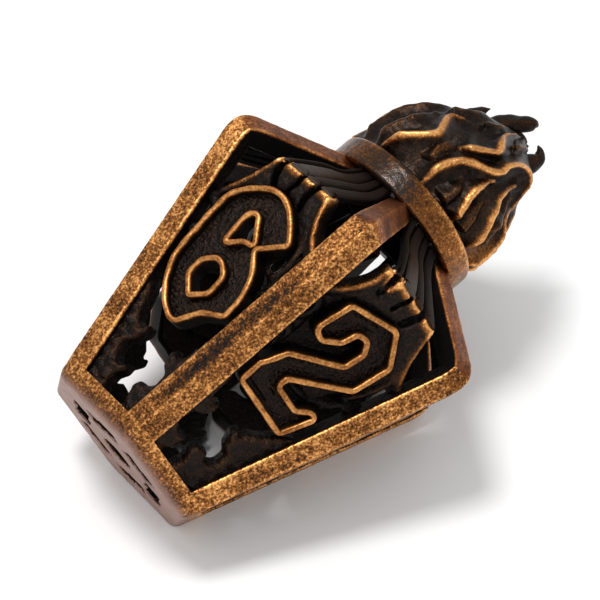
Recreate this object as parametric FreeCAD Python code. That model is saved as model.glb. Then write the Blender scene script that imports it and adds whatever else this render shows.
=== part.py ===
import FreeCAD, Part
import math
import os
from FreeCAD import Matrix, Placement, Rotation, Vector

# A caged-torch barrel die: six flared faces in a cage of corner posts, each with a
# pierced numeral plate, closed by shoulder arms, a neck collar and a flame.
# It is built standing on its foot, flame up, then laid on the face numbered one.

# Driving dimensions, millimetres.
FOOT_RADIUS = 7.3            # axis to a corner ridge at the foot
SHOULDER_RADIUS = 14.0       # axis to a corner ridge at the shoulder
SHOULDER_HEIGHT = 20.3
FOOT_THICKNESS = 1.45
MEMBER_WIDTH = 1.6           # a post's width on each of the two faces it divides
MEMBER_DEPTH = 1.6
MEMBER_ROUNDING = 0.25
COLLAR_RADIUS = 6.4
COLLAR_BORE = 5.2
COLLAR_BOTTOM = 24.9
COLLAR_TOP = 26.95
COLLAR_ROUNDING = 0.2
ARM_TAPER = 0.82
ARM_END_RADIUS = 5.3
RIM_WIDTH = 0.4              # raised outline of a numeral
RIM_TOP = 0.15               # depths below the outer face
PLATE_TOP = 0.85
HAND_TOP = 0.45
SCROLL_TOP = 0.6
PANEL_BACK = 1.65
FINGER_TOP = 20.8            # distances up the slope of a face
PALM_TOP = 18.9
TONGUE_THICKNESS = 0.8
TONGUE_CONVERGENCE = 0.62
FOOT_CHAMFER = 0.3
HOLE_RADIUS = 1.45           # hexagonal hole through the foot
HOLE_ROUNDING = 0.4
SLOT_WIDTH = 1.4
SLOT_REACH = 1.5
SLOT_STARTS = (2.8, 3.1)     # the two halves of a stepped slot, out from the axis
SLIVER = 0.15                # solids smaller than this, in cubic millimetres, are left out
CORNER = 0.5                 # usual rounding in a face's outlines

FACE_APOTHEM = FOOT_RADIUS * math.cos(math.radians(30))
FLARE = (SHOULDER_RADIUS - FOOT_RADIUS) / SHOULDER_HEIGHT
SLOPE = math.atan(FLARE * math.cos(math.radians(30)))
FACE_LENGTH = SHOULDER_HEIGHT / math.cos(SLOPE)

# Which side of the hexagon carries which number; opposite sides add up to seven.
FACE_AZIMUTH = {"six": -30, "two": 30, "four": 90, "one": 150, "five": 210, "three": 270}

# Numeral outlines on the face: across, up the slope, and a rounding where it isn't usual.
# The first outline of each is the figure's edge and the others are its counters.
NUMERALS = {
    "one": [[(-2.3, 8.3, 0.2), (2.3, 8.3, 0.2), (2.8, 10.1), (1.1, 10.3), (1.15, 17.3),
             (0.3, 18.5), (-0.7, 18.1), (-2.7, 15.8), (-2.3, 14.9), (-0.95, 15.3),
             (-0.95, 10.3), (-2.8, 10.1)]],
    "two": [[(-2.6, 8.4, 0.2), (2.3, 8.4, 0.3), (2.9, 10.9), (2.3, 11.0), (1.5, 10.1),
             (-0.75, 10.1), (-0.8, 10.9), (2.65, 14.0), (2.75, 16.8), (0.7, 18.5),
             (-2.7, 17.0), (-2.75, 14.2), (-1.8, 14.1), (-0.85, 15.1), (-0.7, 16.3),
             (0.1, 16.6), (0.8, 15.9), (0.8, 14.4), (-2.3, 11.9), (-2.85, 10.0)]],
    "three": [[(-2.8, 9.7), (-1.4, 8.3), (0.7, 8.0), (2.5, 9.1), (2.9, 11.0), (2.6, 12.6),
               (1.7, 13.4, 0.2), (2.6, 14.4), (2.7, 16.5), (0.3, 18.6), (-2.8, 17.2),
               (-2.5, 15.3), (-1.4, 15.0), (-0.6, 16.1), (0.3, 16.3), (0.7, 15.4),
               (0.3, 14.4), (-1.0, 13.7), (-1.0, 12.9), (0.4, 12.3), (0.9, 11.2),
               (0.2, 10.2), (-0.7, 10.4), (-1.4, 11.3), (-2.6, 11.1)]],
    "four": [[(0.0, 8.1, 0.2), (1.9, 8.1, 0.2), (2.0, 10.3), (3.1, 10.6), (3.1, 12.3),
              (2.0, 12.6), (2.0, 17.8), (0.9, 18.6), (-3.1, 12.8), (-3.0, 10.6),
              (0.0, 10.4)],
             [(-1.2, 12.5, 0.15), (0.2, 12.5, 0.15), (0.25, 15.0, 0.15)]],
    "five": [[(2.5, 18.4), (2.7, 16.3), (-0.7, 16.2), (-0.8, 14.9), (1.2, 14.9),
              (2.8, 13.6), (2.9, 10.3), (1.2, 8.3), (-1.5, 8.2), (-2.9, 9.8),
              (-2.3, 11.1), (-1.3, 11.1), (-0.5, 10.3), (0.5, 10.4), (0.9, 11.3),
              (0.6, 12.7), (-2.7, 12.8), (-2.6, 18.3)]],
    "six": [[(3.1, 16.35, 0.3), (2.1, 17.5, 4), (1.15, 18.25, 4), (0.1, 18.6, 4),
             (-0.9, 18.45, 4), (-2.3, 17.5, 4), (-3.15, 16.5, 4), (-3.3, 14.4, 6),
             (-3.3, 11.2, 6), (-2.6, 9.6, 4), (-1.4, 8.3, 2), (0.1, 7.6, 0.7), (1.4, 9.4, 1.2),
             (2.95, 10.2, 0.4), (3.05, 11.7, 4), (2.5, 13.4, 4), (1.25, 14.75, 0.3)],
            [(-0.95, 13.85, 0.15), (-0.95, 16.3, 0.6), (-0.2, 16.7, 0.5),
             (1.15, 14.75, 0.15), (0.5, 15.0, 0.3)],
            [(-0.3, 12.9), (-1.4, 11.9), (-1.4, 10.8), (-0.3, 9.7, 0.3), (0.9, 10.6),
             (0.9, 12.1)]],
}

# The open hand of flame behind a numeral: its palm, then the outline of each finger.
# Each of the two hands is worn by three faces, by some of them turned left for right.
PALM_A = [(-4.6, 12.6, 0.3), (-3.1, 12.3, 0.3), (-2.4, 10.0, 0.3), (2.0, 10.0, 0.3),
          (3.2, 12.3, 0.3), (5.2, 12.6, 0.3), (5.2, 13.8, 0.3), (4.1, 14.2, 0.8),
          (4.2, 15.7, 0.8), (5.6, 16.6, 0.3), (5.6, 17.4, 0.3), (4.2, 18.1, 1.5),
          (3.3, 19.9, 1.5), (3.0, 20.3, 0.2), (-2.3, 20.2, 0.3), (-3.3, 18.2, 1.5),
          (-5.2, 16.6, 0.4), (-5.2, 15.7, 0.3), (-3.9, 15.0, 0.8), (-4.0, 14.0, 0.6),
          (-4.8, 13.6, 0.3)]
PALM_B = [(-5.0, 12.8, 0.3), (-3.2, 12.0, 0.3), (-2.4, 10.0, 0.3), (2.2, 10.4, 0.3),
          (4.8, 12.6, 0.3), (4.8, 13.6, 0.3), (4.2, 14.3, 0.8), (4.2, 15.6, 0.8),
          (5.6, 16.2, 0.3), (5.6, 17.0, 0.3), (3.5, 18.2, 1.5), (2.4, 20.3, 0.3),
          (-2.3, 20.3, 0.3), (-2.9, 20.6, 0.3), (-3.3, 19.6, 1.5), (-3.9, 18.0, 1.5),
          (-5.6, 16.6, 0.4), (-5.6, 15.9, 0.3), (-4.0, 15.2, 0.8), (-4.0, 14.2, 0.8),
          (-5.0, 13.6, 0.3)]
FINGERS_A = [
    [(-3.1, 18.2, 0.2), (-2.45, 19.7), (-2.3, 20.4), (-1.9, 20.8, 0.2), (-1.6, 20.8, 0.1),
     (-1.85, 19.8), (-1.5, 18.4, 0.1)],
    [(-1.3, 18.4, 0.1), (-1.5, 20.0), (-1.4, 20.8, 0.2), (0.0, 20.8, 0.2), (0.05, 20.0),
     (-0.1, 18.4, 0.1)],
    [(0.25, 18.4, 0.1), (0.2, 20.0), (0.5, 20.8, 0.2), (1.45, 20.8, 0.2), (1.45, 20.0),
     (1.2, 18.2, 0.1)],
    [(1.6, 18.0, 0.1), (1.8, 20.2), (2.0, 20.8, 0.2), (2.95, 20.8, 0.2), (3.05, 20.2),
     (3.7, 18.6), (3.6, 17.6, 0.1)]]
FINGERS_B = [
    [(-4.1, 17.6, 0.1), (-3.5, 19.2), (-3.35, 20.3), (-3.0, 20.8, 0.2), (-2.75, 20.8, 0.1),
     (-2.5, 19.4), (-2.7, 17.6, 0.1)],
    [(-2.3, 17.8, 0.1), (-2.15, 19.6), (-2.1, 20.8, 0.2), (-0.85, 20.8, 0.2),
     (-0.75, 19.6), (-0.8, 18.2, 0.1)],
    [(-0.5, 18.2, 0.1), (-0.45, 20.2), (-0.25, 20.8, 0.2), (0.35, 20.8, 0.2), (0.55, 20.2),
     (0.6, 18.4, 0.1)],
    [(1.0, 18.4, 0.1), (1.15, 20.2), (1.3, 20.8, 0.2), (2.1, 20.8, 0.2), (2.3, 20.3),
     (3.2, 18.4), (3.4, 17.6, 0.1)]]
HANDS = {
    "one": (PALM_B, FINGERS_B, 1), "two": (PALM_B, FINGERS_B, 1),
    "three": (PALM_B, FINGERS_B, -1), "four": (PALM_A, FINGERS_A, -1),
    "five": (PALM_A, FINGERS_A, -1), "six": (PALM_A, FINGERS_A, 1),
}

# Flame scrolls that curl out of the lower ends of the posts into the window.
SCROLLS_A = {
    "left": [(-4.8, 9.6, 0.2), (-4.0, 9.8, 0.2), (-3.0, 8.4), (-2.5, 6.9), (-2.2, 6.3),
             (-1.6, 6.1), (-1.15, 6.7, 0.15), (-1.0, 5.9), (-1.4, 5.1), (-1.9, 4.6),
             (-1.8, 3.8), (-1.3, 3.3), (-0.8, 3.4), (-0.4, 3.9, 0.15), (-0.4, 3.1),
             (-0.8, 2.5), (-0.7, 0.9, 0.1), (-4.0, 0.9, 0.1)],
    "right": [(4.8, 9.6, 0.2), (3.9, 9.8, 0.2), (2.9, 8.3), (2.6, 6.8), (2.2, 6.2),
              (1.9, 6.2), (1.65, 6.7, 0.1), (1.4, 6.0), (1.6, 5.2), (2.2, 4.7),
              (2.1, 3.9), (1.6, 3.4), (1.05, 3.5, 0.15), (0.8, 2.9), (1.0, 2.2),
              (1.2, 0.9, 0.1), (4.0, 0.9, 0.1)],
}
SCROLLS_B = {
    "left": [(-4.8, 9.0, 0.2), (-4.0, 9.2, 0.2), (-2.8, 8.0), (-2.5, 6.5), (-2.1, 6.0),
             (-1.65, 6.5, 0.15), (-1.4, 5.8), (-1.6, 5.1), (-2.3, 4.6), (-2.4, 3.8),
             (-1.8, 3.2), (-1.3, 3.1), (-0.9, 3.5, 0.15), (-0.9, 2.6), (-1.3, 0.9, 0.1),
             (-4.0, 0.9, 0.1)],
    "right": [(4.8, 9.4, 0.2), (4.0, 9.6, 0.2), (2.8, 8.4), (1.9, 7.2), (1.3, 6.7, 0.15),
              (1.1, 6.0), (0.7, 6.6, 0.15), (0.5, 5.9), (1.0, 5.0), (1.7, 4.6),
              (1.8, 3.8), (1.3, 3.3), (0.9, 3.8, 0.15), (0.0, 3.7, 0.2), (-0.2, 3.0),
              (0.2, 2.2), (0.1, 0.9, 0.1), (4.0, 0.9, 0.1)],
}
SCROLLS = {"one": SCROLLS_B, "two": SCROLLS_B, "three": SCROLLS_A,
           "four": SCROLLS_B, "five": SCROLLS_B, "six": SCROLLS_A}

# The flame above the collar: level rounds as (height, sideways, radius).
FLAME_CORE = [(COLLAR_TOP, 0.0, 6.1), (28.8, -0.1, 6.45), (30.6, -0.25, 6.05),
              (32.4, -0.1, 5.45), (34.2, 0.4, 4.5), (35.6, 1.0, 3.3), (36.6, 1.3, 2.2)]
# Licks rising from the core, as (azimuth, height, stand-off, radius) along each one.
FLAME_CLAWS = {
    "flame_claw_long": [(-0.25, 35.2, 1.0), (-0.15, 36.3, 0.82), (0.35, 37.1, 0.68),
                        (0.9, 37.8, 0.56), (1.25, 38.35, 0.4)],
    "flame_claw_short": [(2.9, 34.9, 1.1), (3.25, 36.1, 0.74), (3.35, 36.75, 0.5),
                         (3.0, 37.2, 0.28)],
}


def outline(points, mirror=1):
    """Closed flat outline of straight runs joined by tangent arcs."""
    if mirror < 0:
        points = [(-p[0],) + tuple(p[1:]) for p in reversed(points)]
    corners = []
    for index, point in enumerate(points):
        here = Vector(point[0], point[1], 0)
        before = Vector(*points[index - 1][:2], 0) - here
        after = Vector(*points[(index + 1) % len(points)][:2], 0) - here
        half = before.getAngle(after) / 2
        room = 0.48 * min(before.Length, after.Length) * math.tan(half)
        radius = min(point[2] if len(point) > 2 else CORNER, room)
        before.normalize()
        after.normalize()
        reach = radius / math.tan(half)
        bisector = (before + after).normalize()
        middle = here + bisector * (radius / math.sin(half) - radius)
        corners.append((here + before * reach, middle, here + after * reach))
    edges = []
    for index, (start, middle, end) in enumerate(corners):
        edges.append(Part.Arc(start, middle, end).toShape())
        edges.append(Part.makeLine(end, corners[(index + 1) % len(corners)][0]))
    return Part.Wire(edges)


def slab(region, top, back):
    """Solid from a flat region of a face, between two depths below it."""
    raised = region.copy()
    raised.translate(Vector(0, 0, -back))
    return raised.extrude(Vector(0, 0, back - top))


def offset_region(wire, distance):
    return Part.Face(wire.makeOffset2D(distance))


def polygon(points):
    return Part.makePolygon(points + [points[0]])


def prism(lower, upper):
    """Straight-sided solid between two polygons."""
    return Part.makeLoft([polygon(lower), polygon(upper)], True, True)


def hexagon(radius, height):
    turns = [math.radians(60 * k) for k in range(6)]
    return [Vector(radius * math.cos(t), radius * math.sin(t), height) for t in turns]


def round_outer_edges(solid, reach_of, radius):
    """Round the three long edges that stand furthest out."""
    long_edges = [e for e in solid.Edges if e.Length > 4]
    long_edges.sort(key=lambda e: -reach_of(e.CenterOfMass))
    return solid.makeFillet(radius, long_edges[:3])


def largest(shape):
    """The solids of a shape that are more than slivers."""
    kept = [s for s in shape.Solids if s.Volume > SLIVER]
    return kept[0] if len(kept) == 1 else Part.makeCompound(kept)


def member_section():
    """Corners of a post's level section, measured from its ridge: outward, sideways."""
    sine = math.sin(math.radians(60))
    side = (-MEMBER_WIDTH / 2, MEMBER_WIDTH * sine)
    inner = (side[0] - MEMBER_DEPTH * sine, side[1] - MEMBER_DEPTH / 2)
    return [(0, 0), side, inner, (inner[0], -inner[1]), (side[0], -side[1])]


def shoulder_corners():
    """A post's section carried to the slanting joint with its arm."""
    arm = Vector(COLLAR_RADIUS - SHOULDER_RADIUS, 0, COLLAR_BOTTOM + 0.1 - SHOULDER_HEIGHT)
    arm.normalize()
    joint = Vector(FLARE, 0, 1).normalize() + arm
    corners = []
    for outward, sideways in member_section():
        rise = -joint.x * outward / (joint.x * FLARE + joint.z)
        corners.append(Vector(SHOULDER_RADIUS + outward + FLARE * rise, sideways,
                              SHOULDER_HEIGHT + rise))
    return corners, arm


def corner_post():
    radius = FOOT_RADIUS + FLARE * FOOT_THICKNESS
    lower = [Vector(radius + x, y, FOOT_THICKNESS) for x, y in member_section()]
    post = prism(lower, shoulder_corners()[0])
    return round_outer_edges(post, lambda p: p.x, MEMBER_ROUNDING)


def shoulder_arm(collar_zone):
    start, arm = shoulder_corners()
    end = []
    for corner in start:
        run = (ARM_END_RADIUS - corner.x) / arm.x
        point = corner + arm * run
        end.append(Vector(point.x, point.y * ARM_TAPER, point.z))
    bar = round_outer_edges(prism(start, end), lambda p: p.z, MEMBER_ROUNDING)
    return largest(bar.cut(collar_zone))


def foot_plate():
    foot = prism(hexagon(FOOT_RADIUS, 0),
                 hexagon(FOOT_RADIUS + FLARE * FOOT_THICKNESS, FOOT_THICKNESS))
    rim = [e for e in foot.Edges if e.BoundBox.ZMax < 0.01]
    foot = foot.makeChamfer(FOOT_CHAMFER, rim)
    hole = prism(hexagon(HOLE_RADIUS, -1), hexagon(HOLE_RADIUS, FOOT_THICKNESS + 1))
    upright = [e for e in hole.Edges if abs(e.tangentAt(0).z) > 0.9]
    foot = foot.cut(hole.makeFillet(HOLE_ROUNDING, upright))
    for side in range(6):
        for near, start in zip(SLOT_STARTS, (-SLOT_REACH, 0)):
            corner = Vector(near, start, -1)
            slot = Part.makeBox(SLOT_WIDTH, SLOT_REACH, FOOT_THICKNESS + 2, corner)
            slot.rotate(Vector(), Vector(0, 0, 1), 30 + 60 * side)
            foot = foot.cut(slot)
    return foot


def neck_collar():
    height = COLLAR_TOP - COLLAR_BOTTOM
    tube = Part.makeCylinder(COLLAR_RADIUS, height, Vector(0, 0, COLLAR_BOTTOM))
    rims = [e for e in tube.Edges if len(e.Vertexes) == 1]
    tube = tube.makeFillet(COLLAR_ROUNDING, rims)
    return tube.cut(Part.makeCylinder(COLLAR_BORE, height + 2, Vector(0, 0, COLLAR_BOTTOM - 1)))


def face_placement(name):
    """Places a face's own axes: across, up the slope, and outward."""
    turn = math.radians(FACE_AZIMUTH[name])
    level = Vector(math.cos(turn), math.sin(turn), 0)
    across = Vector(-math.sin(turn), math.cos(turn), 0)
    up = level * math.sin(SLOPE) + Vector(0, 0, math.cos(SLOPE))
    out = level * math.cos(SLOPE) - Vector(0, 0, math.sin(SLOPE))
    foot = level * FACE_APOTHEM
    return Placement(Matrix(across.x, up.x, out.x, foot.x,
                            across.y, up.y, out.y, foot.y,
                            across.z, up.z, out.z, foot.z,
                            0, 0, 0, 1))


def numeral(name):
    """The raised rim of a numeral and the plate inside it, in the face's axes."""
    half = RIM_WIDTH / 2
    wires = [outline(points) for points in NUMERALS[name]]
    rim = None
    for wire in wires:
        band = offset_region(wire, half).cut(offset_region(wire, -half))
        rim = band if rim is None else rim.fuse(band)
    plate = offset_region(wires[0], -half)
    figure = offset_region(wires[0], half)
    for wire in wires[1:]:
        plate = plate.cut(offset_region(wire, half))
        figure = figure.fuse(offset_region(wire, half))
    plate = plate.cut(rim)
    rim = rim.removeSplitter()
    rim_solid = slab(Part.makeCompound(rim.Faces), RIM_TOP, PANEL_BACK)
    plate_solid = slab(Part.makeCompound(plate.Faces), PLATE_TOP, PANEL_BACK)
    return rim_solid, largest(plate_solid), figure


def flame_hand(name, figure):
    palm, fingers, mirror = HANDS[name]
    region = Part.Face(outline(palm, mirror))
    region = region.cut(Part.makePlane(14, 4, Vector(-7, PALM_TOP, 0)))
    for points in fingers:
        region = region.fuse(Part.Face(outline(points, mirror)))
    region = region.cut(figure).removeSplitter()
    return slab(Part.makeCompound(region.Faces), HAND_TOP, PANEL_BACK)


def hand_tongues(name):
    """Flat bars that carry the fingers inward under the collar."""
    fingers, mirror = HANDS[name][1:]
    radial = ARM_END_RADIUS - FACE_APOTHEM
    height = COLLAR_BOTTOM + 0.7
    root = Vector(0, FINGER_TOP, -HAND_TOP)
    tip = Vector(0, radial * math.sin(SLOPE) + height * math.cos(SLOPE),
                 radial * math.cos(SLOPE) - height * math.sin(SLOPE))
    under = (tip - root).normalize().cross(Vector(1, 0, 0)) * TONGUE_THICKNESS
    bars = []
    for points in fingers:
        top = [p[0] * mirror for p in points if p[1] == FINGER_TOP]
        ends = []
        for place, spread in ((root, 1.0), (tip, TONGUE_CONVERGENCE)):
            left = place + Vector(min(top) * spread, 0, 0)
            right = place + Vector(max(top) * spread, 0, 0)
            ends.append([left, right, right + under, left + under])
        bars.append(prism(*ends))
    below = Part.makeBox(20, 20, 20, Vector(-10, FINGER_TOP - 20, -15))
    return Part.makeCompound(bars).cut(below)


def flame_core():
    rounds = [Part.Wire(Part.makeCircle(radius, Vector(0, sideways, height)))
              for height, sideways, radius in FLAME_CORE]
    return Part.makeLoft(rounds, True, False)


def claw(points, core):
    rounds = []
    for index, (sideways, height, radius) in enumerate(points):
        ahead = points[min(index + 1, len(points) - 1)]
        behind = points[max(index - 1, 0)]
        lean = Vector(0, ahead[0] - behind[0], ahead[1] - behind[1])
        rounds.append(Part.Wire(Part.makeCircle(radius, Vector(0, sideways, height), lean)))
    return largest(Part.makeLoft(rounds, True, False).cut(core))


def laid_on_face_one():
    """Placement that lays the standing die down: +X along the flame, +Z up."""
    sine, cosine = math.sin(SLOPE), math.cos(SLOPE)
    middle = FACE_APOTHEM * sine + FACE_LENGTH / 2
    lay = Placement(Matrix(-sine, 0, cosine, -middle,
                           0, -1, 0, 0,
                           cosine, 0, sine, FACE_APOTHEM * cosine,
                           0, 0, 0, 1))
    return lay.multiply(Placement(Vector(), Rotation(Vector(0, 0, 1), 30)))


def build():
    nodes = {"foot_plate": foot_plate(), "neck_collar": neck_collar()}
    collar_zone = Part.makeCylinder(COLLAR_RADIUS, 20, Vector(0, 0, COLLAR_BOTTOM))
    post = corner_post()
    arm = shoulder_arm(collar_zone)
    posts = []
    for corner in range(6):
        for name, shape in (("corner_post", post), ("shoulder_arm", arm)):
            turned = shape.copy()
            turned.rotate(Vector(), Vector(0, 0, 1), 60 * corner)
            nodes["%s_%d" % (name, corner + 1)] = turned
            if name == "corner_post":
                posts.append(turned)
    cage = Part.makeCompound(posts + [prism(hexagon(FOOT_RADIUS + 1, 0),
                                            hexagon(FOOT_RADIUS + 1, FOOT_THICKNESS))])
    arms = Part.makeCompound([nodes["shoulder_arm_%d" % (k + 1)] for k in range(6)])
    for name in FACE_AZIMUTH:
        place = face_placement(name)
        rim, plate, figure = numeral(name)
        hand = flame_hand(name, figure)
        tongues = hand_tongues(name)
        for shape in (rim, plate, hand, tongues):
            shape.Placement = place
        nodes["number_rim_" + name] = rim
        nodes["number_plate_" + name] = plate
        nodes["flame_hand_" + name] = largest(hand.cut(cage))
        nodes["hand_tongues_" + name] = largest(tongues.cut(collar_zone).cut(arms))
        for side, points in SCROLLS[name].items():
            scroll = slab(Part.Face(outline(points)), SCROLL_TOP, PANEL_BACK)
            scroll.Placement = place
            scroll = scroll.cut(cage).cut(rim).cut(plate).cut(hand)
            nodes["foot_scroll_%s_%s" % (name, side)] = largest(scroll)
    core = flame_core()
    nodes["flame_core"] = core
    for name, points in FLAME_CLAWS.items():
        nodes[name] = claw(points, core)
    return nodes


os.makedirs("parts", exist_ok=True)
final = laid_on_face_one()
for node, shape in build().items():
    placed = shape.copy()
    placed.Placement = final.multiply(placed.Placement)
    if not placed.isValid():
        print("invalid", node)
    print(node, len(placed.Solids), round(placed.Volume, 2))
    placed.exportStep("parts/%s.step" % node)
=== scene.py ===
import math

import bmesh
import bpy
import numpy as np
from bpy.props import FloatProperty, FloatVectorProperty, PointerProperty
from mathutils import Matrix, Vector


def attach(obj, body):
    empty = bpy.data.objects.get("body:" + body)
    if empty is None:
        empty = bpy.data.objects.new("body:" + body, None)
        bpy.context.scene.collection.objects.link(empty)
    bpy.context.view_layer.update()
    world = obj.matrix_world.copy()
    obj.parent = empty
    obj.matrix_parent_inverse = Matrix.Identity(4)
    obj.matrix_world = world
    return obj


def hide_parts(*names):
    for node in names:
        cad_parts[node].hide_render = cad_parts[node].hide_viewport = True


bl_info = {
    "name": "Caged Torch Die",
    "version": (1, 0, 0),
    "blender": (4, 5, 0),
    "location": "View3D > Sidebar > Torch Die",
    "description": "A cast barrel die shaped as a caged torch, in rubbed antique copper",
    "category": "Add Mesh",
}

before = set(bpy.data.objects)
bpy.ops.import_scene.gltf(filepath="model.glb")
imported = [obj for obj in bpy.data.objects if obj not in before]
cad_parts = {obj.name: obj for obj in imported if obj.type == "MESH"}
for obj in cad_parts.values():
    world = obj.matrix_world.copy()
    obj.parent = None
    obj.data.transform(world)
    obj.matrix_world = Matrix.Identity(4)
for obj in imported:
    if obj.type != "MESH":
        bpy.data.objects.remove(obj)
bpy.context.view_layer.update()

# The die's own measures, in millimetres, standing on its foot with the flame up.
MM = 0.001
FOOT_RADIUS = 7.3
SHOULDER_RADIUS = 14.0
SHOULDER_HEIGHT = 20.3
FOOT_THICKNESS = 1.45
BAR_WIDTH = 1.6
BAR_DEPTH = 1.6
COLLAR_RADIUS = 6.4
COLLAR_BORE = 5.2
COLLAR_BOTTOM = 24.9
COLLAR_TOP = 26.95
ARM_TAPER = 0.82
ARM_END_RADIUS = 5.5
PANEL_BACK = 1.65
HOLE_RADIUS = 1.45
SLOT_NEAR = 2.8
SLOT_WIDTH = 1.4
SLOT_STEP = 0.3
SLOT_REACH = 1.5
FINGER_TOP = 20.8
TONGUE_END_RADIUS = 5.6
SCROLL_TOP = 0.45
SCROLL_FOOT = 1.35
RIDGE_ROUNDING = 0.14
SIDE_ROUNDING = 0.22
INNER_ROUNDING = 0.3
FINE_STEP = 0.1
OUTLINE_STEP = 0.12
FLARE = (SHOULDER_RADIUS - FOOT_RADIUS) / SHOULDER_HEIGHT
FACE_APOTHEM = FOOT_RADIUS * math.cos(math.radians(30))
SLOPE = math.atan(FLARE * math.cos(math.radians(30)))
FACE_LENGTH = SHOULDER_HEIGHT / math.cos(SLOPE)
FACE_AZIMUTH = {"six": -30, "two": 30, "four": 90, "one": 150, "five": 210, "three": 270}
AXIS = (math.cos(SLOPE), 0.0, math.sin(SLOPE))

# Boxes on a face that hold a numeral, a hand and a scroll: left, low, right, high.
PLATE_BOX = (-4, 7, 4, 19.5)
HAND_BOX = (-6.2, 9.5, 6.2, 21.2)
SCROLL_BOX = (-5.2, 1.2, 5.2, 10.2)

# Points along and around the pieces that are carried along a path.
POST_ROWS = 180
ARM_ROWS = 80
TONGUE_ROWS = 70
CLAW_ROWS, CLAW_COLUMNS = 70, 40
COLLAR_COLUMNS = 320
FLAME_ROWS, FLAME_COLUMNS = 230, 380

# Sizes of the finish's grains, pits and blotches.
GRAIN_SIZE = 0.17
PIT_SIZE = 0.42
BLOTCH_SIZE = 2.4

# The stage, in metres.
AIM = (0.00364, -0.0001, 0.0107)
KEY_PLACE, KEY_SIZE = (-0.065, 0.075, 0.48), 0.12
FILL_PLACE, FILL_SIZE = (-0.30, -0.16, 0.30), 0.35
LAMP_AIM = (0.005, 0, 0.01)
SKY_STRENGTH = 0.7
FLOOR_REACH = 4.0
FLOOR_WHITE = 0.93

# Numeral outlines: across the face, up its slope, and a rounding where it isn't usual.
# The first outline of each is the figure's edge and the others are its counters.
NUMERALS = {
    "one": [[(-2.3, 8.3, 0.3), (2.3, 8.3, 0.3), (2.8, 10.1), (1.1, 10.3), (1.15, 17.3),
             (0.3, 18.5), (-0.7, 18.1), (-2.7, 15.8), (-2.3, 14.9), (-0.95, 15.3),
             (-0.95, 10.3), (-2.8, 10.1)]],
    "two": [[(-2.6, 8.4, 0.3), (2.3, 8.4, 0.3), (2.9, 10.9), (2.3, 11.0), (1.5, 10.1),
             (-0.75, 10.1), (-0.8, 10.9), (2.65, 14.0), (2.75, 16.8), (0.7, 18.5),
             (-2.7, 17.0), (-2.75, 14.2), (-1.8, 14.1), (-0.85, 15.1), (-0.7, 16.3),
             (0.1, 16.6), (0.8, 15.9), (0.8, 14.4), (-2.3, 11.9), (-2.85, 10.0)]],
    "three": [[(-2.8, 9.7), (-1.4, 8.3), (0.7, 8.0), (2.5, 9.1), (2.9, 11.0), (2.6, 12.6),
               (1.7, 13.4, 0.3), (2.6, 14.4), (2.7, 16.5), (0.3, 18.6), (-2.8, 17.2),
               (-2.5, 15.3), (-1.4, 15.0), (-0.6, 16.1), (0.3, 16.3), (0.7, 15.4),
               (0.3, 14.4), (-1.0, 13.7), (-1.0, 12.9), (0.4, 12.3), (0.9, 11.2),
               (0.2, 10.2), (-0.7, 10.4), (-1.4, 11.3), (-2.6, 11.1)]],
    "four": [[(0.0, 8.1, 0.3), (1.9, 8.1, 0.3), (2.0, 10.3), (3.1, 10.6), (3.1, 12.3),
              (2.0, 12.6), (2.0, 17.8), (0.9, 18.6), (-3.1, 12.8), (-3.0, 10.6),
              (0.0, 10.4)],
             [(-1.2, 12.5, 0.3), (0.2, 12.5, 0.3), (0.25, 15.0, 0.3)]],
    "five": [[(2.5, 18.4), (2.7, 16.3), (-0.7, 16.2), (-0.8, 14.9), (1.2, 14.9),
              (2.8, 13.6), (2.9, 10.3), (1.2, 8.3), (-1.5, 8.2), (-2.9, 9.8),
              (-2.3, 11.1), (-1.3, 11.1), (-0.5, 10.3), (0.5, 10.4), (0.9, 11.3),
              (0.6, 12.7), (-2.7, 12.8), (-2.6, 18.3)]],
    "six": [[(3.1, 16.35, 0.3), (2.1, 17.5, 4), (1.15, 18.25, 4), (0.1, 18.6, 4),
             (-0.9, 18.45, 4), (-2.3, 17.5, 4), (-3.15, 16.5, 4), (-3.3, 14.4, 6),
             (-3.3, 11.2, 6), (-2.6, 9.6, 4), (-1.4, 8.3, 2), (0.1, 7.6, 0.7), (1.4, 9.4, 1.2),
             (2.95, 10.2, 0.4), (3.05, 11.7, 4), (2.5, 13.4, 4), (1.25, 14.75, 0.3)],
            [(-0.95, 13.7, 0.2), (-1.0, 15.9, 2), (-0.75, 16.5, 0.7), (-0.2, 16.6, 0.6),
             (0.5, 15.7, 1.5), (1.2, 14.8, 0.3), (0.3, 14.75, 1.0)],
            [(-0.3, 12.95, 0.8), (-1.35, 12.0, 0.8), (-1.45, 10.8, 0.8), (-0.3, 9.65, 0.25),
             (0.85, 10.6, 0.7), (0.9, 12.1, 0.8)]],
}

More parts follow.
